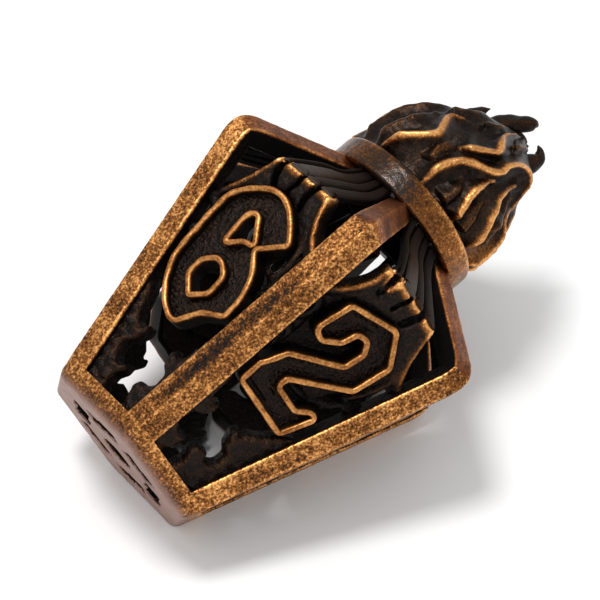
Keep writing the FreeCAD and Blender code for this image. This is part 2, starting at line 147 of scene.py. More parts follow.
# The open hand of flame behind a numeral, seen from outside the face: the hand's edge,
# the grooves between its fingers (paths with a width), holes through its palm, the
# raised curl beside the numeral, and for each tongue its two sides and how strong the painted sheen on
# its top is.
HAND_A = {
    "edge": [(-5.7, 15.9, 0.2), (-5.0, 15.6, 0.4), (-4.4, 16.2), (-3.8, 17.1, 2), (-3.15, 18.25, 2),
             (-2.65, 19.4, 1), (-2.3, 20.4, 0.5), (-1.95, 20.8, 0.3), (3.0, 20.8, 0.4),
             (3.15, 19.9, 0.5), (3.5, 18.9, 1.5), (4.0, 18.0, 1.5), (4.7, 17.25, 0.8),
             (5.9, 16.8, 0.3), (5.9, 12.4, 0.3), (4.2, 12.6, 0.5), (3.4, 12.6, 0.5),
             (2.4, 10.5, 1.0), (-2.4, 10.5, 1.0), (-3.4, 12.6, 0.5), (-5.7, 12.7, 0.4),
             (-5.7, 13.4, 0.3), (-4.2, 13.4, 0.6), (-3.75, 14.2, 0.8), (-3.8, 15.0, 0.8),
             (-4.6, 15.2, 0.4), (-5.7, 15.2, 0.2)],
    "grooves": [([(-1.5, 21.3), (-1.6, 20.6), (-1.72, 19.9), (-1.55, 19.2), (-1.2, 18.6)], 0.19),
                ([(0.3, 21.3), (0.25, 20.6), (0.15, 19.95), (-0.08, 19.3), (-0.15, 18.6)], 0.13),
                ([(1.75, 21.3), (1.68, 20.6), (1.42, 20.0), (1.32, 19.4), (1.45, 18.6)], 0.2)],
    "holes": [[(3.85, 16.9, 0.2), (4.35, 16.2), (4.45, 14.9), (4.2, 13.9), (3.6, 13.3, 0.2),
               (3.95, 14.6), (3.9, 15.6)],
              [(2.6, 15.5, 0.3), (3.1, 15.7, 0.3), (3.2, 14.9), (2.9, 14.45), (1.9, 14.5, 0.2)]],
    "curl": [(3.3, 17.0), (3.6, 16.3), (3.65, 15.3), (3.4, 14.4), (2.8, 14.05), (2.0, 14.2)],
    "tips": [(-2.05, -1.7, 0.5), (-1.4, 0.1, 0.5), (0.45, 1.5, 0.5), (1.9, 3.05, 0.5)],
}
HAND_B = {
    "edge": [(-5.9, 15.7, 0.2), (-5.2, 15.9, 0.4), (-4.6, 16.6, 0.6), (-4.2, 17.1, 2),
             (-3.7, 18.1, 2), (-3.4, 19.0, 1.5), (-3.4, 20.0, 1), (-3.2, 20.5, 0.3), (-2.75, 20.4, 0.3),
             (-2.6, 19.8, 0.5), (-2.2, 19.5, 0.2), (-2.15, 20.8, 0.3), (2.35, 20.8, 0.4),
             (3.0, 19.2, 2), (3.55, 18.1, 2), (4.4, 17.0, 1), (5.9, 16.2, 0.3),
             (5.9, 12.6, 0.3), (4.2, 12.7, 0.5), (3.4, 12.5, 0.5), (2.6, 10.7, 1.0),
             (-2.4, 10.2, 1.0), (-3.5, 12.4, 0.5), (-5.7, 12.9, 0.4), (-5.7, 13.6, 0.3),
             (-4.4, 13.7, 0.6), (-3.95, 14.4, 0.8), (-4.0, 15.0, 0.8), (-4.7, 15.2, 0.4),
             (-5.9, 15.1, 0.2)],
    "grooves": [([(-2.45, 21.3), (-2.42, 20.4), (-2.35, 19.6), (-2.2, 18.9)], 0.17),
                ([(-0.55, 21.3), (-0.57, 20.6), (-0.6, 19.8), (-0.65, 19.1)], 0.13),
                ([(0.85, 21.3), (0.88, 20.5), (0.85, 19.8), (0.7, 19.1)], 0.26)],
    "holes": [[(4.0, 16.7, 0.2), (4.5, 16.1), (4.55, 14.9), (4.3, 14.0), (3.6, 13.4, 0.2),
               (4.05, 14.7), (4.05, 15.7)]],
    "curl": [(3.7, 17.2), (3.9, 16.2), (3.9, 15.2), (3.7, 14.4), (3.3, 13.6)],
    "tips": [(-3.05, -2.85, 0.3), (-2.1, -0.75, 0.5), (-0.4, 0.5, 0.3), (1.25, 2.35, 0.3)],
}
HANDS = {"one": (HAND_B, 1), "two": (HAND_B, 1), "three": (HAND_B, -1),
         "four": (HAND_A, -1), "five": (HAND_A, -1), "six": (HAND_A, 1)}

# Flame scrolls that curl out of the lower ends of the posts into the window.
SCROLLS_A = {
    "left": [(-4.8, 9.6, 0.2), (-4.0, 9.8, 0.2), (-3.0, 8.4), (-2.5, 6.9), (-2.2, 6.3),
             (-1.6, 6.1), (-1.15, 6.7, 0.15), (-1.0, 5.9), (-1.4, 5.1), (-1.9, 4.6),
             (-1.8, 3.8), (-1.3, 3.3), (-0.8, 3.4), (-0.4, 3.9, 0.15), (-0.4, 3.1),
             (-0.8, 2.5), (-0.7, 0.9, 0.1), (-4.0, 0.9, 0.1)],
    "right": [(4.8, 9.6, 0.2), (3.9, 9.8, 0.2), (2.9, 8.3), (2.6, 6.8), (2.2, 6.2),
              (1.9, 6.2), (1.65, 6.7, 0.1), (1.4, 6.0), (1.6, 5.2), (2.2, 4.7),
              (2.1, 3.9), (1.6, 3.4), (1.05, 3.5, 0.15), (0.8, 2.9), (1.0, 2.2),
              (1.2, 0.9, 0.1), (4.0, 0.9, 0.1)],
}
SCROLLS_B = {
    "left": [(-4.8, 9.0, 0.2), (-4.0, 9.2, 0.2), (-2.8, 8.0), (-2.5, 6.5), (-2.1, 6.0),
             (-1.65, 6.5, 0.15), (-1.4, 5.8), (-1.6, 5.1), (-2.3, 4.6), (-2.4, 3.8),
             (-1.8, 3.2), (-1.3, 3.1), (-0.9, 3.5, 0.15), (-0.9, 2.6), (-1.3, 0.9, 0.1),
             (-4.0, 0.9, 0.1)],
    "right": [(4.8, 9.4, 0.2), (4.0, 9.6, 0.2), (2.8, 8.4), (1.9, 7.2), (1.3, 6.7, 0.15),
              (1.1, 6.0), (0.7, 6.6, 0.15), (0.5, 5.9), (1.0, 5.0), (1.7, 4.6),
              (1.8, 3.8), (1.3, 3.3), (0.9, 3.8, 0.15), (0.0, 3.7, 0.2), (-0.2, 3.0),
              (0.2, 2.2), (0.1, 0.9, 0.1), (4.0, 0.9, 0.1)],
}
SCROLLS = {"one": SCROLLS_B, "two": SCROLLS_B, "three": SCROLLS_A,
           "four": SCROLLS_B, "five": SCROLLS_B, "six": SCROLLS_A}

# Turns, in degrees, at which the collar is most worn and at which it stays black.
WORN_TURN = 50
BLACK_TURN = -16
# How dark the painted shade is in a streak along one side of each post's ridge.
SHADE_STREAKS = (0.8, 0.05, 0.3, 0.45, 0.2, 0.35)

# The flame's middle line and half width by height, standing.
FLAME_HEIGHTS = [26.9, 28.5, 30.2, 31.0, 32.0, 33.0, 34.0, 35.0, 35.7, 36.2, 36.7, 37.0]
FLAME_MIDDLES = [0.0, -0.05, 0.0, -0.2, -0.1, 0.2, 0.7, 1.0, 1.2, 1.3, 1.4, 1.4]
FLAME_WIDTHS = [6.35, 6.5, 6.35, 6.0, 5.7, 5.35, 4.7, 3.9, 3.1, 2.4, 1.4, 0.3]
# Millimetres along the skin for each radian, and how far the skin between licks sinks.
FLAME_REACH = 5.6
HOLLOW_DEPTH = 1.05
# Licks along the flame's skin, as (azimuth in degrees, height) points: the ones rubbed
# bright, the low dark ones between them, and the ones at the back.
BRIGHT_LICKS = [
    [(-46, 27.2), (-35, 28.5), (-28, 29.3), (-23, 30.0), (-22, 30.7), (-28, 31.7),
     (-33, 32.5), (-29, 32.9)],
    [(-4, 27.1), (-4, 28.4), (0, 29.8), (10, 30.8), (22, 31.5), (27, 32.2), (26, 33.0),
     (30, 33.9), (42, 34.5), (57, 34.3), (67, 33.4), (74, 32.6)],
    [(-4, 30.9), (3, 31.6), (10, 32.4), (12, 33.0), (4, 33.8), (-3, 34.6), (-5, 35.8)],
    [(30, 27.2), (26, 28.2), (23, 29.2), (24, 30.3), (31, 31.4)],
    [(57, 27.2), (51, 28.9), (45, 29.9), (43, 31.0), (46, 32.2), (49, 32.9)],
    [(80, 27.0), (82, 28.6), (74, 30.0), (70, 31.2), (76, 32.4)],
]
DARK_LICKS = [
    [(-10, 28.4), (-14, 29.6), (-11, 30.6), (-14, 31.4)],
    [(13, 27.2), (15, 28.4), (11, 29.5)],
    [(40, 27.2), (38, 28.2), (34, 29.2), (36, 30.2)],
    [(-57, 27.6), (-53, 29.2), (-46, 30.6), (-47, 31.9)],
    [(12, 34.6), (20, 35.3), (34, 35.9)],
    [(-22, 33.9), (-16, 34.8), (-22, 35.7)],
    [(64, 28.2), (60, 29.6), (64, 31.0), (60, 32.2)],
    [(-78, 27.4), (-78, 29.4), (-70, 30.8), (-62, 32.0), (-62, 33.2), (-70, 34.3)],
    [(-46, 33.0), (-38, 33.8), (-42, 34.7), (-60, 35.6)],
]
BACK_LICKS = [
    [(100, 27.2), (106, 28.8), (100, 30.2), (92, 31.2), (94, 32.6), (104, 33.8)],
    [(128, 27.1), (124, 28.6), (130, 29.9), (141, 30.9), (143, 32.0), (136, 33.2),
     (128, 34.4)],
    [(160, 27.2), (166, 28.6), (163, 30.0), (154, 31.0), (156, 32.2), (168, 33.3)],
    [(196, 27.1), (190, 28.5), (192, 29.8), (202, 30.8), (206, 32.0), (199, 33.2),
     (186, 34.3), (180, 35.2)],
    [(228, 27.2), (234, 28.7), (231, 30.1), (222, 31.2), (224, 32.5), (232, 33.4)],
    [(258, 27.2), (252, 28.6), (255, 30.0), (263, 31.1), (262, 32.4)],
]
# Claws at the flame's end: the CAD piece that each stands for, its turn about the axis in
# degrees, and its line as (sideways, height, radius) points.
CLAWS = {
    "claw_long": ("flame_claw_long", 0, [
        (-0.2, 34.4, 1.3), (-0.3, 35.4, 1.0), (-0.15, 36.3, 0.82), (0.35, 37.1, 0.68),
        (0.9, 37.8, 0.6), (1.3, 38.25, 0.42), (1.55, 38.4, 0.1)]),
    "claw_short": ("flame_claw_short", 0, [
        (2.2, 34.3, 1.3), (2.9, 35.3, 1.0), (3.25, 36.1, 0.74), (3.35, 36.75, 0.5),
        (3.05, 37.2, 0.3), (2.6, 37.4, 0.06)]),
    "claw_left": (None, 0, [
        (-2.3, 33.6, 0.9), (-2.15, 34.8, 0.65), (-1.9, 35.8, 0.38), (-1.62, 36.5, 0.06)]),
    "claw_middle": (None, 0, [
        (1.4, 34.6, 1.0), (1.7, 35.6, 0.75), (1.9, 36.3, 0.45), (2.2, 36.8, 0.08)]),
    "claw_back": (None, 165, [
        (-2.2, 33.4, 1.1), (-2.4, 34.6, 0.8), (-2.1, 35.6, 0.5), (-1.5, 36.2, 0.08)]),
}


def turned(points, mirror):
    """The same outline, or its left-for-right twin run the other way round."""
    if mirror > 0:
        return points
    return [(-p[0],) + tuple(p[1:]) for p in reversed(points)]


def loop(points, mirror=1, corner=0.5, step=0.1):
    """Closed outline as evenly spaced points: straight runs joined by tangent arcs, each
    arc a circle that touches both runs at a corner's rounding."""
    points = turned(points, mirror)
    flat = np.array([p[:2] for p in points], float)
    path = []
    for index, point in enumerate(points):
        before = flat[index - 1] - flat[index]
        after = flat[(index + 1) % len(points)] - flat[index]
        lengths = np.linalg.norm(before), np.linalg.norm(after)
        before, after = before / lengths[0], after / lengths[1]
        half = math.acos(np.clip(before @ after, -1, 1)) / 2
        radius = min(point[2] if len(point) > 2 else corner,
                     0.48 * min(lengths) * math.tan(half))
        bisector = (before + after) / np.linalg.norm(before + after)
        centre = flat[index] + bisector * radius / math.sin(half)
        start = flat[index] + before * radius / math.tan(half) - centre
        sweep = (math.pi - 2 * half) * np.sign(before[0] * after[1] - before[1] * after[0])
        turn = np.linspace(0, -sweep, 9)
        path.append(centre + np.stack([start[0] * np.cos(turn) - start[1] * np.sin(turn),
                                       start[0] * np.sin(turn) + start[1] * np.cos(turn)], 1))
    path = np.concatenate(path)
    gaps = np.linalg.norm(np.roll(path, -1, 0) - path, axis=1)
    along = np.concatenate([[0], np.cumsum(gaps)])
    closed = np.concatenate([path, path[:1]])
    places = np.linspace(0, along[-1], max(12, int(along[-1] / step)), endpoint=False)
    return np.stack([np.interp(places, along, closed[:, k]) for k in (0, 1)], 1)


def curve(points, count):
    """Smooth open path through points: each coordinate follows a cubic that passes
    through them with the slope of the points either side."""
    points = np.array(points, float)
    padded = np.concatenate([2 * points[:1] - points[1:2], points,
                             2 * points[-1:] - points[-2:-1]])
    place = np.linspace(0, len(points) - 1 - 1e-9, count)
    low = place.astype(int)
    t = (place - low)[:, None]
    a, b, c, d = (padded[low + k] for k in range(4))
    return 0.5 * (2 * b + (c - a) * t + (2 * a - 5 * b + 4 * c - d) * t ** 2
                  + (3 * b - a - 3 * c + d) * t ** 3)


def nearest(points, path, closed=True):
    """Distance from each point to a path, and how far along the path, from 0 to 1, the
    nearest spot is: the least of the distances to its straight stretches."""
    start = path if closed else path[:-1]
    run = (np.roll(path, -1, 0) if closed else path[1:]) - start
    start, run = start.astype(np.float32), run.astype(np.float32)
    length2 = (run ** 2).sum(1) + 1e-9
    distance = np.empty(len(points))
    along = np.empty(len(points))
    for chunk in np.array_split(np.arange(len(points)), 1 + len(points) * len(run) // 1000000):
        x = points[chunk, :1].astype(np.float32) - start[:, 0]
        y = points[chunk, 1:2].astype(np.float32) - start[:, 1]
        share = np.clip((x * run[:, 0] + y * run[:, 1]) / length2, 0, 1)
        gap = (x - share * run[:, 0]) ** 2 + (y - share * run[:, 1]) ** 2
        best = gap.argmin(1)
        rows = np.arange(len(chunk))
        distance[chunk] = np.sqrt(gap[rows, best])
        along[chunk] = (best + share[rows, best]) / len(run)
    return distance, along


def inside(points, path):
    """Distance to a closed path, positive within it: a point is within when a level ray
    from it crosses the path an odd number of times. Points more than a millimetre clear
    of the path's box are given -1."""
    result = np.full(len(points), -1.0)
    close = ((points > path.min(0) - 1) & (points < path.max(0) + 1)).all(1)
    near = points[close]
    distance = nearest(near, path)[0]
    after = np.roll(path, -1, 0)
    odd = np.zeros(len(near), bool)
    for a, b in zip(path, after):
        crosses = (a[1] > near[:, 1]) != (b[1] > near[:, 1])
        where = a[0] + (near[:, 1] - a[1]) / (b[1] - a[1] + 1e-12) * (b[0] - a[0])
        odd ^= crosses & (near[:, 0] < where)
    result[close] = np.where(odd, distance, -distance)
    return result


def ripple(points, scale, seed):
    """Smooth seeded unevenness in about -1 to 1: the mean of 14 cosine waves of one
    wavelength that run in random directions."""
    rng = np.random.default_rng(seed)
    ways = rng.normal(size=(14, points.shape[1]))
    ways /= np.linalg.norm(ways, axis=1)[:, None]
    phase = rng.uniform(0, 2 * math.pi, 14)
    waves = np.cos(points @ ways.T * (2 * math.pi / scale) + phase)
    return waves.mean(1) * 1.9


def laid(points):
    """Millimetres on the standing die to metres on the die laid on face one: a turn of
    30 degrees about its axis, then a tilt that puts that face on the ground."""
    sine, cosine = math.sin(SLOPE), math.cos(SLOPE)
    turn = math.radians(30)
    spin = np.array([[math.cos(turn), -math.sin(turn), 0],
                     [math.sin(turn), math.cos(turn), 0], [0, 0, 1]])
    tilt = np.array([[-sine, 0, cosine], [0, -1, 0], [cosine, 0, sine]])
    shift = [-(FACE_APOTHEM * sine + FACE_LENGTH / 2), 0, FACE_APOTHEM * cosine]
    return (points @ (tilt @ spin).T + shift) * MM


def on_face(name, across, up, depth):
    """Points on a face, from their distances across it, up its slope and below it."""
    turn = math.radians(FACE_AZIMUTH[name])
    level = np.array([math.cos(turn), math.sin(turn), 0])
    sideways = np.array([-math.sin(turn), math.cos(turn), 0])
    height = np.array([0, 0, 1.0])
    rise = level * math.sin(SLOPE) + height * math.cos(SLOPE)
    outward = level * math.cos(SLOPE) - height * math.sin(SLOPE)
    return (level * FACE_APOTHEM + np.multiply.outer(across, sideways)
            + np.multiply.outer(up, rise) - np.multiply.outer(depth, outward))


def grid_quads(rows, columns, wrap_rows=False, wrap_columns=True):
    """Quads of a grid of points, its last row or column joined to its first if asked."""
    index = np.arange(rows * columns).reshape(rows, columns)
    if wrap_rows:
        index = np.concatenate([index, index[:1]])
    if wrap_columns:
        index = np.concatenate([index, index[:, :1]], 1)
    return np.stack([index[:-1, :-1], index[:-1, 1:], index[1:, 1:], index[1:, :-1]],
                    -1).reshape(-1, 4)


def tube(rings, wear_and_light):
    """Closed skin over a stack of rings, each end closed by a fan to its middle."""
    rows, columns = rings.shape[:2]
    points = rings.reshape(-1, 3)
    ends = np.stack([rings[0].mean(0), rings[-1].mean(0)])
    count = rows * columns
    first = np.arange(columns)
    last = first + (rows - 1) * columns
    fans = np.concatenate([
        np.stack([np.full(columns, count), np.roll(first, -1), first], 1),
        np.stack([np.full(columns, count + 1), last, np.roll(last, -1)], 1)])
    wear_and_light = np.concatenate([wear_and_light.reshape(-1), [wear_and_light[0].mean(), wear_and_light[-1].mean()]])
    return np.concatenate([points, ends]), grid_quads(rows, columns), fans, wear_and_light


def add_piece(name, points, quads, fans, wear_and_light, finish, slot, nodes=(), sharp=40):
    """Puts a computed skin into a mesh: its points laid down, its quads and fans, its
    amount of wear and painted light as an attribute, smooth but for edges sharper than an
    angle. Then it tells the frame which part the piece rides on and which CAD pieces it replaces."""
    mesh = bpy.data.meshes.new(name)
    faces = quads.tolist() + (fans.tolist() if fans is not None else [])
    mesh.from_pydata(laid(points), [], faces)
    mesh.attributes.new("wear_and_light", "FLOAT", "POINT").data.foreach_set(
        "value", np.clip(wear_and_light, 0, 1).astype(np.float32))
    work = bmesh.new()
    work.from_mesh(mesh)
    bmesh.ops.recalc_face_normals(work, faces=work.faces)
    work.to_mesh(mesh)
    work.free()
    mesh.shade_smooth()
    mesh.set_sharp_from_angle(angle=math.radians(sharp))
    mesh.materials.append(bpy.data.materials[finish])
    piece = bpy.data.objects.new(name, mesh)
    bpy.context.scene.collection.objects.link(piece)
    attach(piece, "root")
    if nodes:
        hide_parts(*nodes)
    return piece


def window(points):
    """Distance inside the window between the two posts of a face, widened a little so
    that what fills it reaches into the posts."""
    half = FOOT_RADIUS / 2 + (SHOULDER_RADIUS - FOOT_RADIUS) / 2 * points[:, 1] / FACE_LENGTH
    return half - BAR_WIDTH - np.abs(points[:, 0]) + 0.05


def face_map(name):
    """Turns face measures into points, for a plate that lies in that face."""
    return lambda across, up, depth: on_face(name, across, up, depth)


def relief(region, front, place, box, step=0.09, back=PANEL_BACK):
    """Plate with a shaped front: a level grid over the region, its edge points moved on
    to the region's edge, the front sunk by front(points, distance from the edge), with a
    flat back and upright sides. region gives the distance from the edge, positive inside,
    and place turns across, up and depth into points of the die."""
    across = np.arange(box[0], box[2], step)
    up = np.arange(box[1], box[3], step)
    u, v = np.meshgrid(across, up, indexing="ij")
    distance = region(np.stack([u, v], -1).reshape(-1, 2)).reshape(u.shape)
    middle = (distance[:-1, :-1] + distance[1:, :-1] + distance[1:, 1:] + distance[:-1, 1:]) / 4
    keep = middle > 0
    hits = np.zeros(u.shape, int)
    for i in (slice(None, -1), slice(1, None)):
        for j in (slice(None, -1), slice(1, None)):
            hits[i, j] += keep
    edge = (hits > 0) & (hits < 4)
    slope_u, slope_v = np.gradient(distance, step)
    steep = slope_u ** 2 + slope_v ** 2 + 1e-6
    u = np.where(edge, u - np.clip(distance, -step, step) * slope_u / steep, u)
    v = np.where(edge, v - np.clip(distance, -step, step) * slope_v / steep, v)
    distance = np.where(edge, 0, np.maximum(distance, 0))
    used = hits > 0
    number = np.cumsum(used.reshape(-1)).reshape(u.shape) - 1
    flat = np.stack([u[used], v[used]], 1)
    depth, wear_and_light = front(flat, distance[used])
    top = np.stack([number[:-1, :-1], number[1:, :-1], number[1:, 1:], number[:-1, 1:]], -1)
    top = top[keep]
    count = len(flat)
    # The walls hang from the edges that only one quad uses.
    edges = np.concatenate([top[:, [k, (k + 1) % 4]] for k in range(4)])
    key = np.sort(edges, 1) @ np.array([count, 1])
    once = np.unique(key, return_index=True, return_counts=True)
    rim = edges[once[1][once[2] == 1]]
    walls = np.stack([rim[:, 1], rim[:, 0], rim[:, 0] + count, rim[:, 1] + count], 1)
    quads = np.concatenate([top, top[:, ::-1] + count, walls])
    points = np.concatenate([place(flat[:, 0], flat[:, 1], depth),
                             place(flat[:, 0], flat[:, 1], np.full(count, back))])
    return points, quads, np.concatenate([wear_and_light, np.zeros(count)])


def bevel(distance, radius):
    """How far a rounded edge falls: a quarter circle of that radius."""
    near = np.clip(radius - distance, 0, radius)
    return radius - np.sqrt(radius ** 2 - near ** 2)


def smooth(low, high, value):
    """0 up to low, 1 from high on, and a smooth cubic between."""
    t = np.clip((value - low) / (high - low), 0, 1)
    return t * t * (3 - 2 * t)


def bar_section():
    """A post's level section from its ridge, outward and sideways: two facets 120 degrees apart
    and a wedge-shaped inside. With it comes how much of each point is an outer face, as its
    rubbed amount, plus painted highlight lines along the two side edges and, fainter, down the ridge."""
    sine = math.sin(math.radians(60))
    side = (-BAR_WIDTH / 2, BAR_WIDTH * sine)
    inner = (side[0] - BAR_DEPTH * sine, side[1] - BAR_DEPTH / 2)
    corners = [(0, 0, RIDGE_ROUNDING), side + (SIDE_ROUNDING,), inner + (INNER_ROUNDING,),
               (inner[0], -inner[1], INNER_ROUNDING), (side[0], -side[1], SIDE_ROUNDING)]
    section = loop(corners, step=FINE_STEP)
    facet = section[:, 0] + np.abs(section[:, 1]) / math.tan(math.radians(60))
    outer = 1 - smooth(0.02, 0.35, -facet)
    # Painted highlights: a bright line along each side edge and a fainter one down the ridge.
    corner = np.exp(-((np.abs(section[:, 1]) - side[1]) / 0.16) ** 2)
    ridge = np.exp(-(section[:, 1] / 0.13) ** 2)
    return section, outer * (0.6 + 0.36 * corner + 0.14 * ridge)


def shoulder_ring(section):
    """The section carried up the post to the slanting joint with its arm."""
    arm = np.array([COLLAR_RADIUS - SHOULDER_RADIUS, 0, COLLAR_BOTTOM + 0.1 - SHOULDER_HEIGHT])
    arm /= np.linalg.norm(arm)
    post = np.array([FLARE, 0, 1]) / math.hypot(FLARE, 1)
    joint = post + arm
    rise = -joint[0] * section[:, 0] / (joint[0] * FLARE + joint[2])
    ring = np.stack([SHOULDER_RADIUS + section[:, 0] + FLARE * rise, section[:, 1],
                     SHOULDER_HEIGHT + rise], 1)
    return ring, arm


def spun(points, degrees):
    """Points turned about the die's axis."""
    turn = math.radians(degrees)
    matrix = np.array([[math.cos(turn), math.sin(turn), 0],
                       [-math.sin(turn), math.cos(turn), 0], [0, 0, 1]])
    return points @ matrix


def grown(rings, amount):
    """Rings moved outward from their own middles by an uneven amount each point."""
    middle = rings.mean(1, keepdims=True)
    away = rings - middle
    away /= np.linalg.norm(away, axis=-1, keepdims=True)
    return rings + away * amount[..., None]


def cast_skin(rings, seed, depth):
    """The slight waves and grains of a cast surface on a stack of rings."""
    flat = rings.reshape(-1, 3)
    uneven = ripple(flat, 1.7, seed) * 0.6 + ripple(flat, 0.45, seed + 1) * 0.4
    return grown(rings, uneven.reshape(rings.shape[:2]) * depth)


class DieSizes(bpy.types.PropertyGroup):
    """Sizes of the relief, which leave the die's own size as it is."""

    rim_width: FloatProperty(
        name="Rim width", description="Width of a numeral's raised outline",
        default=0.44 * MM, min=0.2 * MM, max=0.8 * MM, unit="LENGTH")
    rim_top: FloatProperty(
        name="Rim depth", description="How far the raised outline lies below the face",
        default=0.12 * MM, min=0, max=0.6 * MM, unit="LENGTH")
    plate_top: FloatProperty(
        name="Plate depth", description="How far a numeral's ground lies below the face",
        default=0.8 * MM, min=0.3 * MM, max=1.4 * MM, unit="LENGTH")
    hand_top: FloatProperty(
        name="Hand depth", description="How far the flame hand lies below the face",
        default=0.42 * MM, min=0.2 * MM, max=1.4 * MM, unit="LENGTH")
    lick_height: FloatProperty(
        name="Lick height", description="How far a lick stands out of the flame",
        default=1.2 * MM, min=0.1 * MM, max=1.2 * MM, unit="LENGTH")
    casting_wave: FloatProperty(
        name="Casting wave", description="Unevenness of the cast bars",
        default=0.03 * MM, min=0, max=0.1 * MM, unit="LENGTH")


class DieFinish(bpy.types.PropertyGroup):
    """Colours of the plating and its patina."""

    bright: FloatVectorProperty(
        name="Bright copper", description="Where the plating is rubbed through to copper",
        default=(0.95, 0.46, 0.15), size=3, min=0, max=1, subtype="COLOR")
    middle: FloatVectorProperty(
        name="Worn copper", description="Half rubbed plating",
        default=(0.27, 0.10, 0.027), size=3, min=0, max=1, subtype="COLOR")
    red: FloatVectorProperty(
        name="Red copper", description="Half rubbed plating on the arms",
        default=(0.27, 0.085, 0.028), size=3, min=0, max=1, subtype="COLOR")
    brown: FloatVectorProperty(
        name="Brown patina", description="Thin patina over copper",
        default=(0.045, 0.021, 0.010), size=3, min=0, max=1, subtype="COLOR")
    black: FloatVectorProperty(
        name="Black patina", description="Full patina in the recesses",
        default=(0.008, 0.0065, 0.006), size=3, min=0, max=1, subtype="COLOR")
    plum: FloatVectorProperty(
        name="Plum patina", description="Smooth patina under the foot",
        default=(0.31, 0.175, 0.135), size=3, min=0, max=1, subtype="COLOR")
    # Painted sheen: the grey that the tongues' tops turn towards stands for light on them.
    grey_sheen: FloatVectorProperty(
        name="Grey sheen", description="Painted sheen on the tongues' tops",
        default=(0.10, 0.095, 0.09), size=3, min=0, max=1, subtype="COLOR")


class StageSettings(bpy.types.PropertyGroup):
    """Where the camera stands and how strong the lights are."""

    azimuth: FloatProperty(
        name="Azimuth", description="Camera's turn about the upright",
        default=math.radians(-40.67), subtype="ANGLE")
    elevation: FloatProperty(
        name="Elevation", description="Camera's height above the horizon",
        default=math.radians(46.26), subtype="ANGLE")
    roll: FloatProperty(
        name="Roll", description="Camera's tilt about its own axis",
        default=math.radians(1.21), subtype="ANGLE")
    distance: FloatProperty(
        name="Distance", description="Camera to the point that it looks at",
        default=0.1417, unit="LENGTH")
    lens: FloatProperty(
        name="Lens", description="Focal length on a 36 mm sensor",
        default=122.4, unit="CAMERA")
    key: FloatProperty(
        name="Key light", description="Power of the high softbox, in watts",
        default=1.25, min=0)
    fill: FloatProperty(
        name="Fill light", description="Power of the side softbox, in watts",
        default=0.25, min=0)


def tools():
    """The three groups of settings."""
    scene = bpy.context.scene
    return scene.die_sizes, scene.die_finish, scene.die_stage


class Nodes:
    """Small helper that adds shader nodes to one material and links them."""

    def __init__(self, name, material=None):
        self.material = material or bpy.data.materials.new(name)
        self.material.use_nodes = True
        self.tree = self.material.node_tree
        self.shader = self.tree.nodes["Principled BSDF"]
        self.place = self.tree.nodes.new("ShaderNodeTexCoord").outputs["Object"]

    def link(self, source, target):
        if isinstance(source, (int, float)):
            target.default_value = source
        else:
            self.tree.links.new(source, target)

    def math(self, operation, a, b=0.0, clamp=False):
        node = self.tree.nodes.new("ShaderNodeMath")
        node.operation = operation
        node.use_clamp = clamp
        self.link(a, node.inputs[0])
        self.link(b, node.inputs[1])
        return node.outputs[0]

    def noise(self, size, detail=2.0, roughness=0.5):
        """Noise whose features are about that many millimetres across."""
        node = self.tree.nodes.new("ShaderNodeTexNoise")
        self.link(self.place, node.inputs["Vector"])
        node.inputs["Scale"].default_value = 1 / (size * MM)
        node.inputs["Detail"].default_value = detail
        node.inputs["Roughness"].default_value = roughness
        return node.outputs["Fac"]

    def span(self, value, low, high, to_low=0.0, to_high=1.0):
        node = self.tree.nodes.new("ShaderNodeMapRange")
        self.link(value, node.inputs["Value"])
        for socket, amount in zip(("From Min", "From Max", "To Min", "To Max"),
                                  (low, high, to_low, to_high)):
            node.inputs[socket].default_value = amount
        return node.outputs["Result"]

    def ramp(self, value, stops):
        node = self.tree.nodes.new("ShaderNodeValToRGB")
        self.link(value, node.inputs["Fac"])
        ramp = node.color_ramp
        while len(ramp.elements) < len(stops):
            ramp.elements.new(0.5)
        for element, (place, colour) in zip(ramp.elements, stops):
            element.position = place
            element.color = tuple(colour) + (1.0,)
        return node.outputs["Color"]

    def bump(self, height, strength, distance):
        node = self.tree.nodes.new("ShaderNodeBump")
        node.inputs["Strength"].default_value = strength
        node.inputs["Distance"].default_value = distance * MM
        self.link(height, node.inputs["Height"])
        self.link(node.outputs["Normal"], self.shader.inputs["Normal"])


def rubbed_plating(name, wear_and_light, grain=0.74, blotch=0.6, lift=0.0, tint=None,
                   roughness=(0.5, 0.4), bump=0.35, metal=0.85):
    """Antique copper: black patina where wear_and_light is 0, through brown, to bright copper at 1.
    The amount is wear_and_light plus lift plus three noises about zero: casting grains, pits and
    slow blotches, each by its weight. Roughness goes between two values as the amount
    rises, and metal is how metallic the black patina is. wear_and_light is a function of the nodes,
    which on some pieces also carries painted highlights and painted shade."""
    nodes = Nodes(name)
    finish = tools()[1]
    grains = nodes.noise(GRAIN_SIZE, 2.0, 0.65)
    pits = nodes.noise(PIT_SIZE, 2.0, 0.6)
    slow = nodes.noise(BLOTCH_SIZE, 3.0, 0.6)
    amount = nodes.math("ADD", wear_and_light(nodes), lift)
    for pattern, weight in ((grains, grain * 2.2), (pits, grain), (slow, blotch)):
        uneven = nodes.math("MULTIPLY", nodes.math("SUBTRACT", pattern, 0.5), weight)
        amount = nodes.math("ADD", amount, uneven)
    colour = nodes.ramp(amount, [(0.0, finish.black), (0.3, finish.brown),
                                 (0.62, tint or finish.middle), (1.0, finish.bright)])
    nodes.link(colour, nodes.shader.inputs["Base Color"])
    nodes.link(nodes.span(amount, 0.0, 0.5, metal, 1.0), nodes.shader.inputs["Metallic"])
    nodes.link(nodes.span(amount, 0.1, 0.9, *roughness), nodes.shader.inputs["Roughness"])
    height = nodes.math("ADD", grains, nodes.math("MULTIPLY", pits, 1.5))
    nodes.bump(height, min(bump, 1.0), 0.05 * max(bump, 1.0))
    return nodes.material


def mesh_wear_and_light(nodes):
    """The amount of wear and painted light that the mesh carries."""
    node = nodes.tree.nodes.new("ShaderNodeAttribute")
    node.attribute_name = "wear_and_light"
    return node.outputs["Fac"]


